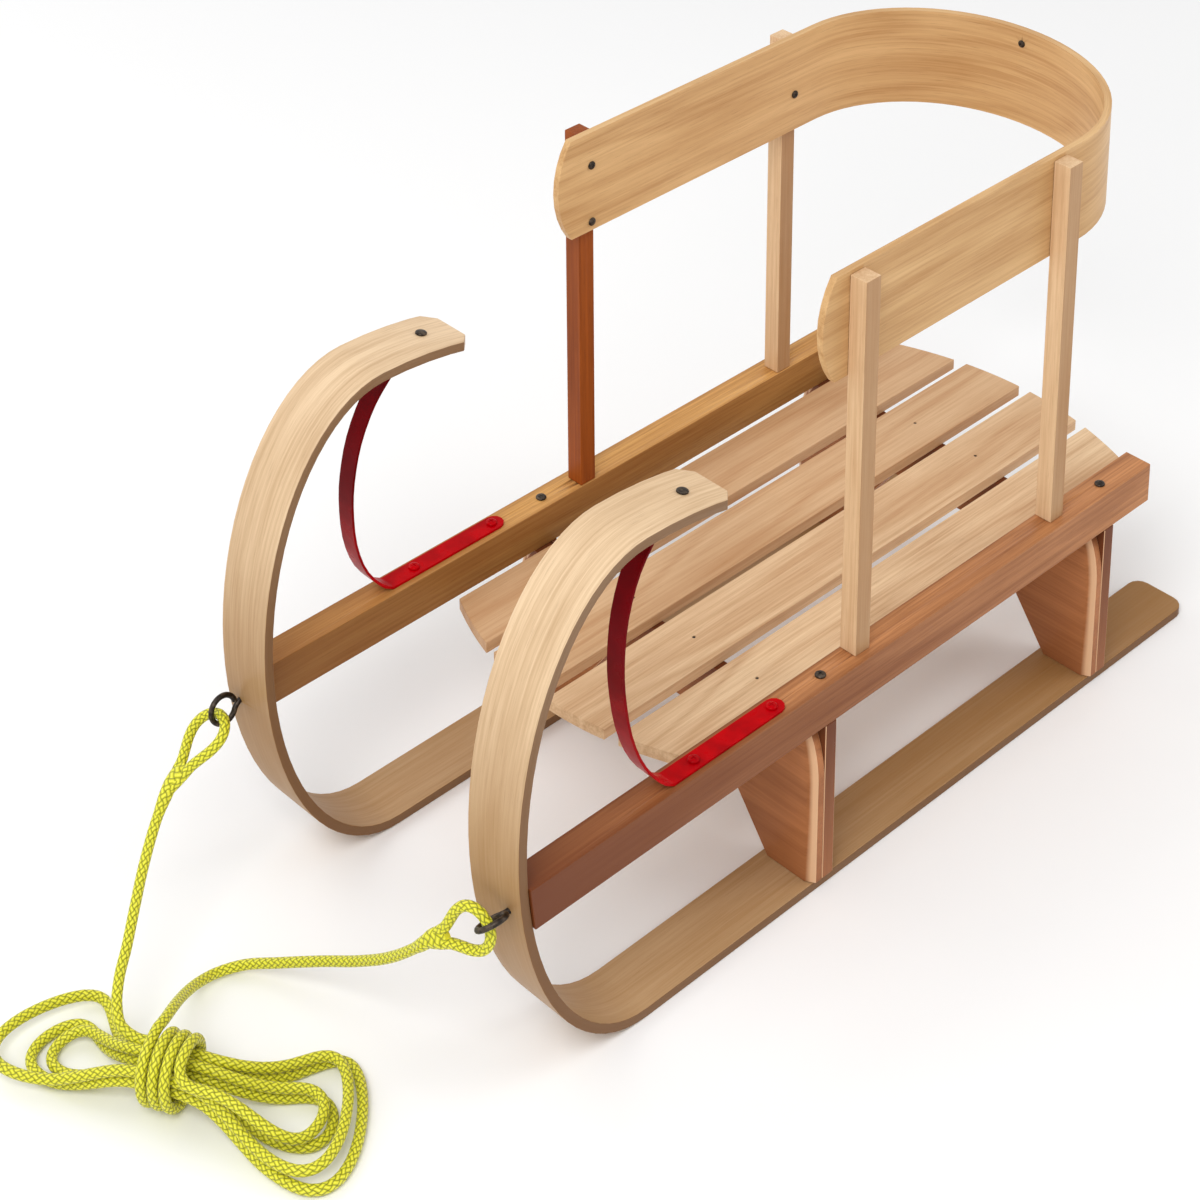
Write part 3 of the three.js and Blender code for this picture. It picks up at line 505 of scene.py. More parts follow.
def wood(name, light, dark, fibre, contrast, gloss, streak=0.5, side_grain_and_painted_shade=0.0, painted_chamfer_highlight=0.0):
    """Varnished wood. The mesh's grain vector runs along, across and through each board.

    The darkening of faces that look to the side is the darker side grain on the runners and painted shade
    on the rails and posts. The lightening of the slanted faces is a painted highlight."""
    nodes = Nodes(name)
    grain = nodes.attribute("grain")
    tint = nodes.attribute("tint", "Fac")
    sway = nodes.noise(nodes.scaled(grain, SWAY_SCALE))
    drifted = nodes.add("ShaderNodeVectorMath", operation="ADD")
    nodes.put(drifted.inputs[0], nodes.scaled(grain, FIGURE_SCALE))
    nodes.put(drifted.inputs[1], nodes.scaled(sway, SWAY_REACH))
    figure = nodes.noise(drifted.outputs[0], detail=1.5, roughness=0.4)
    rings = nodes.math("PINGPONG", nodes.math("MULTIPLY", figure, RINGS), 1.0)
    streaks = nodes.noise(nodes.scaled(grain, STREAK_SCALE), detail=3.0, roughness=0.6)
    fibres = nodes.noise(nodes.scaled(grain, FIBRE_SCALE), roughness=0.6)
    clouds = nodes.noise(nodes.scaled(grain, CLOUD_SCALE), detail=3.0)

    late = nodes.spread(rings, 0.25, 1.0)
    depth = nodes.math("MULTIPLY", late, nodes.math("ADD", streaks, 0.1))
    base = nodes.blend(nodes.math("MULTIPLY", depth, contrast), light, dark)
    base = nodes.blend(nodes.spread(streaks, 0.36, 0.66, 0.0, streak), base, dark)
    base = nodes.blend(nodes.spread(clouds, 0.42, 0.72, 0.0, 0.35), base, dark)
    flecks = nodes.spread(fibres, 0.6, 0.72, 0.0, streak)
    base = nodes.blend(flecks, base, fibre)
    # The tint darkens the wood; on the runners and under the seat it is painted shade
    base = nodes.blend(tint, base, dark)
    if side_grain_and_painted_shade or painted_chamfer_highlight:
        split = nodes.add("ShaderNodeSeparateXYZ")
        nodes.put(split.inputs[0], nodes.add("ShaderNodeNewGeometry").outputs["Normal"])
        sideways = nodes.math("ABSOLUTE", split.outputs["X"])
    # Faces that look to the side go darker: side grain on the runners, painted shade on the rails and posts
    if side_grain_and_painted_shade:
        base = nodes.blend(nodes.spread(sideways, 0.55, 0.85, 0.0, side_grain_and_painted_shade), base, fibre)
    # Painted highlight on the slanted chamfer faces
    if painted_chamfer_highlight:
        slanted = nodes.math("MULTIPLY", sideways, nodes.math("ABSOLUTE", split.outputs["Y"]))
        base = nodes.blend(nodes.spread(slanted, 0.2, 0.36, 0.0, painted_chamfer_highlight), base, CHAMFER_HIGHLIGHT)
    ridges = nodes.math("SUBTRACT", nodes.math("MULTIPLY", late, 0.5), flecks)
    nodes.bump(ridges, GRAIN_DEPTH, 0.5)
    rough = nodes.spread(clouds, 0.3, 0.7, gloss, gloss + 0.14)
    return nodes.set(
        base_color=base, roughness=rough, specular_ior_level=0.16,
        coat_weight=0.06, coat_roughness=0.25,
    )


def red_paint():
    """Red paint over steel, a little uneven, with painted shade that darkens it towards the curls."""
    nodes = Nodes("red_paint")
    place_on = nodes.add("ShaderNodeTexCoord").outputs["Object"]
    clouds = nodes.noise(place_on, PAINT_CLOUDS, detail=3.0)
    peel = nodes.noise(place_on, PAINT_PEEL, detail=1.0)
    base = nodes.blend(nodes.spread(clouds, 0.35, 0.7), colour(188, 0, 10), colour(156, 0, 8))
    split = nodes.add("ShaderNodeSeparateXYZ")
    nodes.put(split.inputs[0], place_on)
    # Painted shade: the upright parts of the straps grow darker with height
    above = nodes.spread(split.outputs["Z"], *PAINT_SHADE_HEIGHTS, 0.0, 0.8)
    base = nodes.blend(above, base, colour(76, 0, 8))
    nodes.bump(peel, PAINT_DEPTH, 0.35)
    rough = nodes.spread(clouds, 0.3, 0.7, 0.24, 0.36)
    return nodes.set(
        base_color=base, roughness=rough, metallic=0.0, specular_ior_level=0.04,
        coat_weight=0.02, coat_roughness=0.12,
    )


def dark_steel():
    """Blackened steel with worn, brighter spots."""
    nodes = Nodes("dark_steel")
    place_on = nodes.add("ShaderNodeTexCoord").outputs["Object"]
    clouds = nodes.noise(place_on, STEEL_CLOUDS, detail=4.0)
    scratches = nodes.noise(place_on, STEEL_SCRATCHES)
    base = nodes.blend(nodes.spread(clouds, 0.45, 0.7), colour(48, 42, 38), colour(92, 80, 68))
    nodes.bump(scratches, STEEL_DEPTH, 0.4)
    rough = nodes.spread(clouds, 0.3, 0.7, 0.34, 0.5)
    return nodes.set(base_color=base, roughness=rough, metallic=0.85)


def braid():
    """A hollow braid of flat bundles that pass over and under each other."""
    nodes = Nodes("yellow_rope")
    chart = nodes.add("ShaderNodeUVMap", uv_map="rope").outputs["UV"]
    split = nodes.add("ShaderNodeSeparateXYZ")
    nodes.put(split.inputs[0], chart)
    around = nodes.math("MULTIPLY", split.outputs["X"], BUNDLES)
    along = nodes.math("MULTIPLY", split.outputs["Y"], BUNDLES / BRAID_PITCH)
    rising = nodes.math("ADD", around, along)
    falling = nodes.math("SUBTRACT", around, along)
    rise_crown = bundle_crown(nodes, rising)
    fall_crown = bundle_crown(nodes, falling)
    parity = nodes.math("ADD", nodes.math("FLOOR", rising), nodes.math("FLOOR", falling))
    over = nodes.math("COMPARE", nodes.math("FLOORED_MODULO", parity, 2.0), 1.0, 0.5)
    crown = nodes.blend(over, rise_crown, fall_crown)
    threads = nodes.noise(nodes.scaled(chart, THREAD_SCALE))
    wear = nodes.noise(nodes.scaled(chart, WEAR_SCALE), detail=3.0)
    # Painted shade in the grooves between the bundles, rising to their yellow crowns
    base = nodes.ramp(
        crown,
        (0.0, colour(104, 104, 4)), (0.4, colour(158, 158, 8)),
        (0.8, colour(216, 212, 20)), (1.0, colour(242, 238, 64)),
    )
    base = nodes.blend(nodes.spread(threads, 0.45, 0.75, 0.0, 0.3), base, colour(170, 164, 24))
    base = nodes.blend(nodes.spread(wear, 0.5, 0.8, 0.0, 0.25), base, colour(206, 204, 60))
    height = nodes.math("ADD", crown, nodes.math("MULTIPLY", threads, 0.25))
    nodes.bump(height, BRAID_DEPTH, 0.9)
    return nodes.set(
        base_color=base, roughness=0.5, specular_ior_level=0.45,
        sheen_weight=0.15, sheen_roughness=0.4,
    )


def bundle_crown(nodes, phase):
    """How high a bundle stands across its width: nothing at its edges, one in the middle."""
    centred = nodes.math("SUBTRACT", nodes.math("FRACT", phase), 0.5)
    squared = nodes.math("MULTIPLY", nodes.math("MULTIPLY", centred, centred), 4.0)
    return nodes.math("SUBTRACT", 1.0, squared)


# The colour of the painted highlight on the chamfers
CHAMFER_HIGHLIGHT = colour(226, 182, 142)
WOODS = {
    "runner_wood": wood(
        "runner_wood", colour(231, 202, 165), colour(146, 101, 46), colour(104, 66, 34), 0.22, 0.36,
        streak=0.3, side_grain_and_painted_shade=0.8,
    ),
    "rail_wood_right": wood(
        "rail_wood_right", colour(212, 148, 96), colour(108, 54, 22), colour(74, 36, 12), 0.55, 0.36,
        streak=0.4,
    ),
    "rail_wood_left": wood(
        "rail_wood_left", colour(222, 168, 98), colour(136, 80, 32), colour(92, 50, 18), 0.5, 0.36,
        streak=0.4, side_grain_and_painted_shade=0.4,
    ),
    "bolster_wood": wood(
        "bolster_wood", colour(190, 124, 78), colour(104, 54, 28), colour(80, 42, 22), 0.3, 0.4,
        streak=0.2, painted_chamfer_highlight=0.9,
    ),
    "slat_wood": wood(
        "slat_wood", colour(236, 204, 164), colour(172, 118, 70), colour(132, 86, 50), 0.6, 0.38,
        streak=0.3,
    ),
    "post_wood": wood(
        "post_wood", colour(234, 202, 162), colour(182, 134, 86), colour(150, 104, 62), 0.5, 0.4,
        streak=0.35, side_grain_and_painted_shade=0.6,
    ),
    "dark_post_wood": wood(
        "dark_post_wood", colour(172, 88, 28), colour(112, 48, 6), colour(78, 32, 4), 0.5, 0.4,
    ),
    "band_wood": wood(
        "band_wood", colour(220, 180, 128), colour(166, 114, 60), colour(124, 80, 42), 0.6, 0.36,
        streak=0.3,
    ),
}
RED = red_paint()
STEEL = dark_steel()
YELLOW = braid()


# Rope

# A strand's way past the waist: how far it lies beside the waist's line, its heights at the
# waist and out on the floor, and how far out it begins and ends its fall from one to the other
Lane = namedtuple("Lane", "out high low neck fall")


def eye_middle(side):
    low, high = node_box(f"screw_eye_{side}")
    return Vector(((low.x + high.x) / 2, low.y + EYE_RING + EYE_WIRE, (low.z + high.z) / 2))


def splice_axes(side):
    pull = Vector(SPLICE_PULL[side]).normalized()
    return pull, Y_AXIS.cross(pull).normalized()


def in_splice(side, along, out=0.0):
    """A point of a splice: along the pull from the screw eye, and out to one side."""
    pull, across = splice_axes(side)
    return eye_middle(side) + pull * (SPLICE_SEAT + along) + across * out


def half_loop(side, way):
    """Half of the loop round a screw eye, from its top to where the loop closes. way is 1 or -1."""
    points = []
    for step in range(LEG_STEPS):
        turn = math.pi * (1 - step / (2 * LEG_STEPS))
        points.append((SPLICE_BEND * (1 + math.cos(turn)), way * SPLICE_BEND * math.sin(turn)))
    for step in range(LEG_STEPS + 1):
        share = step / LEG_STEPS
        half = mix(SPLICE_BEND, THROAT_HALF, (1 - math.cos(math.pi * share)) / 2)
        points.append((mix(SPLICE_BEND, SPLICE_THROAT, share), way * half))
    return [in_splice(side, along, out) for along, out in points]


def lane(out, layer):
    """The lane of a strand in the hank's lower layer, 0, or its upper one, 1."""
    high = WAIST_HEIGHT + (layer - 0.5) * ROPE_LAYER
    return Lane(out, high, ROPE_FLOOR + layer * ROPE_LAYER, WAIST_HALF, LOBE_FALL)


TIE_LANE = Lane(
    TIE_RADIUS * math.sin(TIE_START), WAIST_HEIGHT + TIE_RADIUS * math.cos(TIE_START),
    ROPE_FLOOR + ROPE_LAYER, TIE_HALF + TIE_BEND + ROPE_DIAMETER, TIE_FALL,
)
BACK_LANES = [lane(OUTER_LANE, 1), lane(OUTER_LANE, 0), lane(INNER_LANE, 0), lane(INNER_LANE, 1)]
FRONT_LANES = [*BACK_LANES[:3], TIE_LANE]


def at_waist(along, behind, height):
    """A place along and behind the waist's middle."""
    level = Matrix.Rotation(WAIST_TURN, 2) @ Vector((along, behind))
    return place(WAIST_X + level.x, WAIST_Y + level.y, height)


def beside_waist(sign, along, out, height, bend):
    """A place beside the waist's line, which bends backwards past the waist."""
    past = max(0, along - WAIST_HALF)
    turn = past / bend
    reach = along - past + (bend - out) * math.sin(turn)
    back = bend - (bend - out) * math.cos(turn)
    return at_waist(sign * reach, back, height)


def lobe(sign, size, start, end, bend):
    """A half loop of the hank, from one lane through the waist round to another."""
    reach, bulge = size
    points = []
    for step in range(LOBE_STEPS + 1):
        turn = math.pi * (step / LOBE_STEPS - 0.5)
        change = smooth_step(step / LOBE_STEPS, *LANE_CHANGE_SHARES)
        at = Lane(*(mix(a, b, change) for a, b in zip(start, end)))
        along = at.neck + (reach - at.neck) * math.cos(turn)
        out = at.out * math.sin(turn) + BULGE_PEAK * bulge * math.sin(turn) * math.cos(turn) ** 2
        rise = 1 - smooth_step(along, at.neck, at.fall)
        points.append(beside_waist(sign, along, -sign * out, mix(at.low, at.high, rise), bend))
    return points


def waist_start(past):
    return at_waist(-WAIST_HALF - past, OUTER_LANE, BACK_LANES[0].high)


def hank_points():
    """The hank's half loops in turn, right and left, each one lane further on."""
    points = []
    for i, size in enumerate(RIGHT_LOBES):
        points += lobe(1, size, BACK_LANES[i], FRONT_LANES[i], RIGHT_BEND)
        if i < len(LEFT_LOBES):
            points += lobe(-1, LEFT_LOBES[i], FRONT_LANES[i], BACK_LANES[i + 1], LEFT_BEND)
    return points


def tie_points():
    """The tie's path, laid out on the unrolled waist as turns round it and places along it."""
    laid = []
    for step in range(TIE_BEND_STEPS + 1):
        turn = math.pi * (1 + step / (2 * TIE_BEND_STEPS))
        laid.append((TIE_BEND * (1 + math.cos(turn)), TIE_HALF + TIE_BEND * (1 + math.sin(turn))))
    around = 2 * math.pi * TIE_RADIUS * TIE_TURNS
    for step in range(1, TIE_STEPS + 1):
        share = step / TIE_STEPS
        laid.append((TIE_BEND + around * share, TIE_HALF * (1 - 2 * share)))
    points = []
    for round_it, along_it in laid:
        angle = TIE_START - round_it / TIE_RADIUS
        points.append(at_waist(
            along_it, -TIE_RADIUS * math.sin(angle), WAIST_HEIGHT + TIE_RADIUS * math.cos(angle),
        ))
    return points


def rope_points():
    """The whole rope, from the left screw eye through the hank and its tie to the right one."""
    tie = tie_points()
    onward = (tie[-1] - tie[-2]).normalized() * ROPE_DIAMETER
    closed = SPLICE_LENGTH + ROPE_DIAMETER
    return [
        *half_loop("left", 1), in_splice("left", closed), *(place(*point) for point in LEFT_ROUTE),
        waist_start(2 * ROPE_DIAMETER), waist_start(ROPE_DIAMETER),
        *hank_points(), *tie, tie[-1] + onward, *(place(*point) for point in RIGHT_ROUTE),
        in_splice("right", closed), *reversed(half_loop("right", 1)),
    ]


def without_repeats(points):
    kept = [points[0]]
    for point in points[1:]:
        if (point - kept[-1]).length > WELD:
            kept.append(point)
    return kept


def evenly(path, step):
    """The same path with its points about a step apart."""
    total = length_of(path)
    parts = round(total / step)
    even = [path[0]]
    travelled = 0
    for a, b in zip(path, path[1:]):
        span = (b - a).length
        while len(even) < parts and travelled + span >= total * len(even) / parts:
            even.append(a.lerp(b, (total * len(even) / parts - travelled) / span))
        travelled += span
    return [*even, path[-1]]


def make_rope():
    """The rope as one tube from screw eye to screw eye, with both its splices."""
    path = evenly(smooth_curve(without_repeats(rope_points())), ROPE_STEP)
    rope = tube("rope", path, ROPE_RADIUS, ROPE_SIDES)
    nodes = ["rope_hank", "rope_tie", "rope_stretch_left", "rope_stretch_right"]
    dress(rope, "yellow_rope", YELLOW, *nodes)
    make_splice("left", path)
    make_splice("right", path[::-1])


def make_splice(side, path):
    """The tail of a loop, and the swollen part of the rope that it is tucked into."""
    points = [*half_loop(side, -1), in_splice(side, SPLICE_LENGTH, -TUCK_OUT), in_splice(side, TUCK_END)]
    tail_path = evenly(smooth_curve(points), ROPE_STEP)
    tail = tube(f"rope_tail_{side}", tail_path, ROPE_RADIUS, ROPE_SIDES)
    dress(tail, "yellow_rope", YELLOW)
    pull, across = splice_axes(side)
    start = in_splice(side, 0)
    centres = []
    sections = []
    for point in path:
        along = (point - start).dot(pull)
        if (point - start).length > SLEEVE_END + ROPE_DIAMETER or not SLEEVE_START <= along <= SLEEVE_END:
            continue
        closed = smooth_step(along, SPLICE_THROAT, SPLICE_LENGTH + ROPE_DIAMETER)
        centres.append(point - across * (point - start).dot(across) * (1 - closed))
        sections.append(sleeve_section(along, closed))
    sleeve = tube(f"rope_splice_{side}", centres, ROPE_RADIUS, ROPE_SIDES, sections, across)
    dress(sleeve, "yellow_rope", YELLOW, f"rope_splice_{side}")


def sleeve_section(along, closed):
    """The two half widths of the rope over its tucked-in tail."""
    opened = smooth_step(along, SLEEVE_START, SPLICE_THROAT)
    ending = smooth_step(along, SPLICE_LENGTH + ROPE_DIAMETER, SLEEVE_END)
    swollen = ROPE_RADIUS + SLEEVE_SWELL * (1 - ending)
    wide = mix(THROAT_HALF, THROAT_HALF + ROPE_RADIUS, opened)
    return mix(wide, swollen, closed), mix(swollen / 2, swollen, opened)


# Pieces made from the solids

def rounded(name, node, edge, shortest=SHORTEST_EDGE):
    """A copy of a node's mesh with its flat faces whole and its edges rounded."""
    bm = bmesh.new()
    bm.from_mesh(bpy.data.objects[node].data)
    bmesh.ops.remove_doubles(bm, verts=bm.verts, dist=WELD)
    bmesh.ops.dissolve_limit(bm, angle_limit=FLAT_ANGLE, verts=bm.verts, edges=bm.edges)
    sharp = [
        line for line in bm.edges
        if len(line.link_faces) == 2 and line.calc_length() > shortest
        and line.calc_face_angle() > EDGE_ANGLE
    ]
    bmesh.ops.bevel(
        bm, geom=sharp, offset=edge, offset_type="OFFSET", segments=EDGE_SEGMENTS,
        profile=ROUND_PROFILE, affect="EDGES", clamp_overlap=True,
    )
    bmesh.ops.triangulate(bm, faces=[face for face in bm.faces if len(face.verts) > 4])
    piece = to_object(name, bm)
    shading = piece.modifiers.new("shading", "WEIGHTED_NORMAL")
    shading.keep_sharp = True
    return piece


def wooden(node, slot, material, chart, number, tint_at, shortest=SHORTEST_EDGE):
    """Replaces a wooden node. chart gives a point's place along, across and through the board,
    and tint_at how far towards the dark colour of its wood it is there."""
    piece = rounded(f"{node}_wood", node, EDGE_ROUND, shortest)
    apart = number * GRAIN_APART
    grain = piece.data.attributes.new("grain", "FLOAT_VECTOR", "POINT")
    for vertex, mark in zip(piece.data.vertices, grain.data):
        along, across, through = chart(vertex.co)
        mark.vector = (along + apart, across + apart, through)
    tints = piece.data.attributes.new("tint", "FLOAT", "POINT")
    for vertex, mark in zip(piece.data.vertices, tints.data):
        mark.value = tint_at(vertex.co)
    dress(piece, slot, WOODS[material], node)


def arc(centre, radius_x, radius_y, start, end):
    """Points on an ellipse's arc, with the angles in shares of half a turn."""
    turns = [math.pi * mix(start, end, step / ARC_STEPS) for step in range(ARC_STEPS + 1)]
    return [
        Vector((centre[0] + radius_x * math.cos(turn), centre[1] + radius_y * math.sin(turn)))
        for turn in turns
    ]


def along_line(line, point):
    """How far along a line a point lies, and how far to its side."""
    best = None
    travelled = 0
    for a, b in zip(line, line[1:]):
        way = b - a
        span = way.length
        share = min(max((point - a).dot(way) / span ** 2, 0), 1)
        apart = point - (a + way * share)
        if best is None or apart.length < best[0]:
            side = (way.x * apart.y - way.y * apart.x) / span
            best = (apart.length, travelled + share * span, side)
        travelled += span
    return best[1], best[2]


TIP_RADIUS = (TIP_REACH ** 2 + TIP_DROP ** 2) / (2 * TIP_DROP)
TIP_CENTRE = Vector((CURL_START, CURL_HEIGHT - TIP_RADIUS))


def runner_line():
    span = math.asin(TIP_REACH / TIP_RADIUS) / math.pi
    return [
        *arc(TIP_CENTRE, TIP_RADIUS, TIP_RADIUS, 0.5 - span, 0.5),
        *arc((CURL_START, CURL_HEIGHT / 2), CURL_REACH, CURL_HEIGHT / 2, 0.5, 1.5)[1:],
        Vector((RUNNER_TAIL, 0)),
    ]


def band_line():
    bend = arc((0, BAND_BEND), BAND_OUTSIDE, BAND_BEND_DEPTH, 0, 1)
    return [Vector((BAND_OUTSIDE, BAND_NOSE)), *bend, Vector((-BAND_OUTSIDE, BAND_NOSE))]


def make_wood():
    runner = runner_line()
    band = band_line()

    def on_runner(point):
        along, through = along_line(runner, Vector((point.y - FRONT_POSTS, point.z)))
        return along, point.x, through

    def on_band(point):
        along, through = along_line(band, Vector((point.x, point.y - FRONT_POSTS)))
        return along, point.z, through

    def lengthwise(point):
        return point.y, point.x, point.z

    def crosswise(point):
        return point.x, point.z, point.y

    def upright(point):
        return point.z, point.x, point.y

    def even(tint):
        return lambda point: tint

    def rail_tint(side):
        low, high = node_box(f"side_rail_{side}")
        behind_strap = mix(low.y, high.y, RAIL_TINT_SHARE)
        return lambda point: mix(*RAIL_TINTS[side], smooth_step(point.y, low.y, behind_strap))

    # Painted shade on a runner: low on its curl and along its floor part, none on the upper curl
    def runner_painted_shade(point):
        tint = mix(CURL_PAINTED_SHADE, FLOOR_PART_PAINTED_SHADE, smooth_step(point.y, *CURL_SHADE_PLACES))
        tint = mix(tint, TAIL_PAINTED_SHADE, smooth_step(point.y, *TAIL_SHADE_PLACES))
        return mix(tint, 0, smooth_step(point.z, *CURL_SHADE_HEIGHTS))

    # Darker towards the foot, and painted shade on the tops that the seat shades
    def foot_tint_and_painted_seat_shade(point):
        tint = mix(FOOT_TINT, 0, smooth_step(point.z, *FOOT_TINT_HEIGHTS))
        return mix(tint, SEAT_PAINTED_SHADE, smooth_step(point.z, *SEAT_SHADE_HEIGHTS))

    groups = count(step=GROUP_STEP)
    for side in SIDES:
        number = next(groups)
        wooden(f"runner_{side}", "runner_wood", "runner_wood", on_runner, number, runner_painted_shade)
        wooden(
            f"side_rail_{side}", "rail_wood", f"rail_wood_{side}", lengthwise, number + 1,
            rail_tint(side),
        )
        for end in ENDS:
            number = next(groups)
            stain = "dark_post_wood" if (end, side) == DARK_POST else "post_wood"
            wooden(f"post_{end}_{side}", "post_wood", stain, upright, number, even(POST_TINTS[end, side]))
            wooden(f"leg_block_{end}_{side}", "bolster_wood", "bolster_wood", upright, number + 1, foot_tint_and_painted_seat_shade)
    numbers = count(next(groups) + 1)
    for end in ENDS:
        wooden(
            f"{end}_bolster", "bolster_wood", "bolster_wood", crosswise, next(numbers), foot_tint_and_painted_seat_shade,
            shortest=SHORTEST_BOLSTER_EDGE,
        )
    for i, tint in enumerate(SLAT_TINTS):
        wooden(f"seat_slat_{i + 1}", "slat_wood", "slat_wood", lengthwise, next(numbers), even(tint))
    wooden("back_band", "band_wood", "band_wood", on_band, next(numbers), even(0))


def make_straps():
    for side in SIDES:
        strap = rounded(f"strap_{side}_painted", f"strap_{side}", STRAP_EDGE)
        dress(strap, "red_paint", RED, f"strap_{side}")


# Screws, rivets and screw eyes

def lathed(profile):
    """A mesh turned round Z from (radius, height) pairs that start and end on the axis."""
    bm = bmesh.new()
    turns = [2 * math.pi * side / SCREW_SIDES for side in range(SCREW_SIDES)]
    rings = []
    for radius, height in profile:
        if radius == 0:
            rings.append([bm.verts.new((0, 0, height))])
            continue
        rings.append([
            bm.verts.new((radius * math.cos(turn), radius * math.sin(turn), height)) for turn in turns
        ])
    for below, above in zip(rings, rings[1:]):
        for side in range(SCREW_SIDES):
            after = (side + 1) % SCREW_SIDES
            corners = [below[side % len(below)], below[after % len(below)]]
            corners += [above[after % len(above)], above[side % len(above)]]
            bm.faces.new(list(dict.fromkeys(corners)))
    return bm


def dome(radius, height):
    """The rounded top of a head that rests at height zero."""
    rim = height * RIM_SHARE
    turns = [math.pi / 2 * step / DOME_STEPS for step in range(DOME_STEPS)]
    sides = [(radius * math.cos(turn), rim + (height - rim) * math.sin(turn)) for turn in turns]
    return [(radius, 0), *sides, (0, height)]


def threaded(shank, length):
    """A shank with a point at its lower end and ridges all along it."""
    tip = POINT_SHARE * shank
    turns = int((length - tip) / THREAD_PITCH)
    profile = [(0, -length), (shank - THREAD_DEPTH, -length + tip)]
    for turn in range(turns):
        height = -length + tip + turn * THREAD_PITCH
        profile.append((shank, height + THREAD_PITCH / 2))
        profile.append((shank - THREAD_DEPTH, height + THREAD_PITCH))
    return profile


def cross_cutter(radius, height):
    """A tapering cross that is sunk into a head from above."""
    reach = radius * CROSS_REACH_SHARE
    half = radius * CROSS_WIDTH_SHARE / 2
    quarter = [(half, half), (half, reach), (-half, reach)]
    outline = []
    for turn in range(4):
        spin = Matrix.Rotation(math.pi / 2 * turn, 2)
        outline += [spin @ Vector(point) for point in quarter]
    bm = bmesh.new()
    levels = [
        (height * (1 - CROSS_DEPTH_SHARE), CROSS_TAPER_SHARE),
        (height * CUTTER_SHARE, 1 / CROSS_TAPER_SHARE),
    ]
    rings = [[bm.verts.new((p.x * scale, p.y * scale, level)) for p in outline] for level, scale in levels]
    bm.faces.new(reversed(rings[0]))
    bm.faces.new(rings[1])
    for i, below in enumerate(rings[0]):
        after = (i + 1) % len(outline)
        bm.faces.new((below, rings[0][after], rings[1][after], rings[1][i]))
    return to_object("cutter", bm)


def screw_mesh(name, radius, height, length):
    """A screw along Z, with a cross sunk into its head, whose underside is at height zero."""
    head = to_object(name, lathed([*threaded(radius * SHANK_SHARE, length), *dome(radius, height)]))
    cutter = cross_cutter(radius, height)
    cross = head.modifiers.new("cross", "BOOLEAN")
    cross.object = cutter
    cross.operation = "DIFFERENCE"
    cross.solver = "EXACT"
    evaluated = head.evaluated_get(bpy.context.evaluated_depsgraph_get())
    mesh = bpy.data.meshes.new_from_object(evaluated)
    bpy.data.objects.remove(head)
    bpy.data.objects.remove(cutter)
    return mesh


def fasten(name, mesh, seat, axis, slot, material, node):
    """Sets a screw with its head's underside at a point and its head towards a direction."""
    turn = axis.to_track_quat("Z", "Y").to_matrix().to_4x4()
    copy = mesh.copy()
    copy.transform(Matrix.Translation(seat) @ turn)
    piece = bpy.data.objects.new(name, copy)
    bpy.context.scene.collection.objects.link(piece)
    dress(piece, slot, material, node)


def screw_like(node, axis, height, slot, material):
    """Replaces a screw node that lies along an axis of the frame."""
    low, high = node_box(node)
    size = high - low
    extent = abs(size.dot(axis))
    radius = (size.x + size.y + size.z - extent) / 4
    seat = (low + high) / 2 + axis * (extent / 2 - height)
    mesh = screw_mesh(node, radius, height, extent - height)
    fasten(f"{node}_crossed", mesh, seat, axis, slot, material, node)


def make_screws():
    for side, sign in SIDES.items():
        for end in ENDS:
            screw_like(f"rail_screw_{end}_{side}", Z_AXIS, RAIL_DOME, "dark_steel", STEEL)
        for number in (1, 2):
            screw_like(f"strap_screw_{number}_{side}", Z_AXIS, STRAP_DOME, "red_paint", RED)
            screw_like(f"band_screw_front_{side}_{number}", -sign * X_AXIS, BAND_DOME, "dark_steel", STEEL)
        screw_like(f"band_screw_rear_{side}_1", -sign * X_AXIS, BAND_DOME, "dark_steel", STEEL)
        make_rivet(side, sign)
    make_rear_screw()


def make_rivet(side, sign):
    """The rivet through a runner's tip and its strap, square to the tip."""
    lean = math.asin((RIVET_PLACE - CURL_START) / TIP_RADIUS)
    axis = Vector((0, math.sin(lean), math.cos(lean)))
    centre = place(sign * RIVET_MIDDLE, *TIP_CENTRE)
    foot = -RIVET_GRIP - RIVET_FOOT_HEIGHT
    profile = [
        (0, foot), (RIVET_FOOT, foot), (RIVET_FOOT, -RIVET_GRIP), (RIVET_SHANK, -RIVET_GRIP),
        (RIVET_SHANK, 0), *dome(RIVET_HEAD, RIVET_DOME),
    ]
    turned = to_object(f"tip_rivet_{side}_turned", lathed(profile))
    seat = centre + axis * (TIP_RADIUS + CLEARANCE)
    turned.data.transform(Matrix.Translation(seat) @ axis.to_track_quat("Z", "Y").to_matrix().to_4x4())
    dress(turned, "dark_steel", STEEL, f"tip_rivet_{side}")


def make_rear_screw():
    """The small screw in the band's bend, square to its inner face."""
    inside_x = BAND_OUTSIDE - BAND_THICKNESS
    inside_y = BAND_BEND_DEPTH - BAND_THICKNESS
    turn = math.acos(BAND_REAR_SCREW / inside_x)
    axis = Vector((-math.cos(turn) / inside_x, -math.sin(turn) / inside_y, 0)).normalized()
    height = middle("band_screw_rear").z
    point = place(BAND_REAR_SCREW, BAND_BEND + inside_y * math.sin(turn), height)
    mesh = screw_mesh("band_screw_rear", REAR_SCREW_HEAD, REAR_SCREW_DOME, REAR_SCREW_LENGTH)
    seat = point + axis * CLEARANCE
    fasten("band_screw_rear_crossed", mesh, seat, axis, "dark_steel", STEEL, "band_screw_rear")


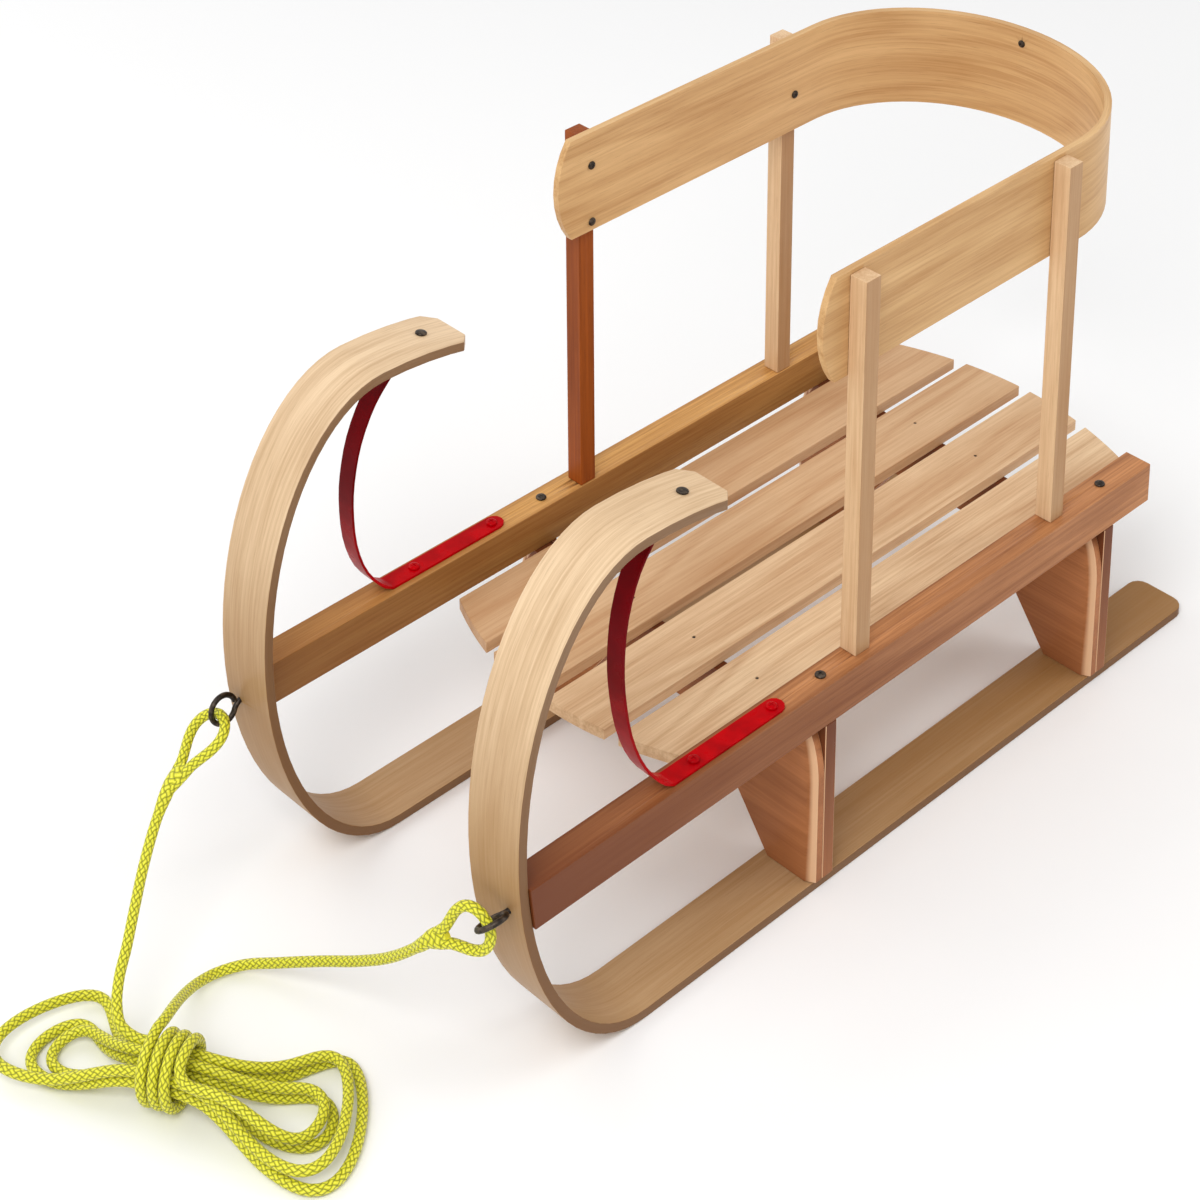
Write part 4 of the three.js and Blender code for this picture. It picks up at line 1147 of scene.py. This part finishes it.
def make_screw_eye(side):
    """Bent wire: a shank in the rail, and a ring that its end almost closes."""
    _, normal = splice_axes(side)
    sideways = normal.cross(Y_AXIS)
    centre = eye_middle(side)
    points = [centre + Y_AXIS * (EYE_RING + EYE_SHANK * share) for share in (1, 0.5, EYE_NECK_SHARE)]
    for step in range(EYE_STEPS + 1):
        turn = mix(EYE_OPEN, 2 * math.pi - EYE_OPEN / 2, step / EYE_STEPS)
        points.append(centre + (Y_AXIS * math.cos(turn) + sideways * math.sin(turn)) * EYE_RING)
    wire = tube(f"screw_eye_{side}_wire", smooth_curve(points), EYE_WIRE, WIRE_SIDES)
    dress(wire, "dark_steel", STEEL, f"screw_eye_{side}")


def finish_small_nodes():
    """The nails and the screws under the runners keep their shape and get their steel."""
    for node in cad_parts:
        if node.startswith(("slat_nail", "runner_screw")):
            materials = bpy.data.objects[node].data.materials
            materials.clear()
            materials.append(STEEL)


# Studio

def make_floor():
    bm = bmesh.new()
    bmesh.ops.create_grid(bm, x_segments=1, y_segments=1, size=FLOOR_SIZE / 2)
    floor = to_object("floor", bm)
    nodes = Nodes("floor")
    floor.data.materials.append(nodes.set(base_color=colour(250, 250, 250), roughness=0.9))
    floor.location.z = -FLOOR_DROP


def make_lamp(name, location, size, power):
    data = bpy.data.lights.new(name, "AREA")
    data.shape = "DISK"
    data.size = size
    data.energy = power
    lamp = bpy.data.objects.new(name, data)
    lamp.location = location
    aim = Vector(LAMP_TARGET) - lamp.location
    lamp.rotation_euler = aim.to_track_quat("-Z", "Y").to_euler()
    bpy.context.scene.collection.objects.link(lamp)


def make_world():
    """Even white light, with a white background for the camera and in reflections."""
    world = bpy.data.worlds.new("studio")
    world.use_nodes = True
    tree = world.node_tree
    background = tree.nodes["Background"]
    background.inputs["Color"].default_value = (1, 1, 1, 1)
    rays = tree.nodes.new("ShaderNodeLightPath")
    seen = rays.outputs["Is Camera Ray"]
    for ray in ("Is Glossy Ray", "Is Transmission Ray"):
        either = tree.nodes.new("ShaderNodeMath")
        either.operation = "MAXIMUM"
        tree.links.new(seen, either.inputs[0])
        tree.links.new(rays.outputs[ray], either.inputs[1])
        seen = either.outputs[0]
    strength = tree.nodes.new("ShaderNodeMapRange")
    tree.links.new(seen, strength.inputs["Value"])
    strength.inputs["To Min"].default_value = WORLD_LIGHT
    strength.inputs["To Max"].default_value = 1.0
    tree.links.new(strength.outputs[0], background.inputs["Strength"])
    bpy.context.scene.world = world


make_rope()
make_wood()
make_straps()
make_screws()
for eye_side in SIDES:
    make_screw_eye(eye_side)
finish_small_nodes()

make_floor()
for lamp_name, (lamp_place, lamp_width, lamp_power) in LAMPS.items():
    make_lamp(lamp_name, lamp_place, lamp_width, lamp_power)
make_world()
bpy.context.scene.view_settings.view_transform = "Standard"

save_bounds()
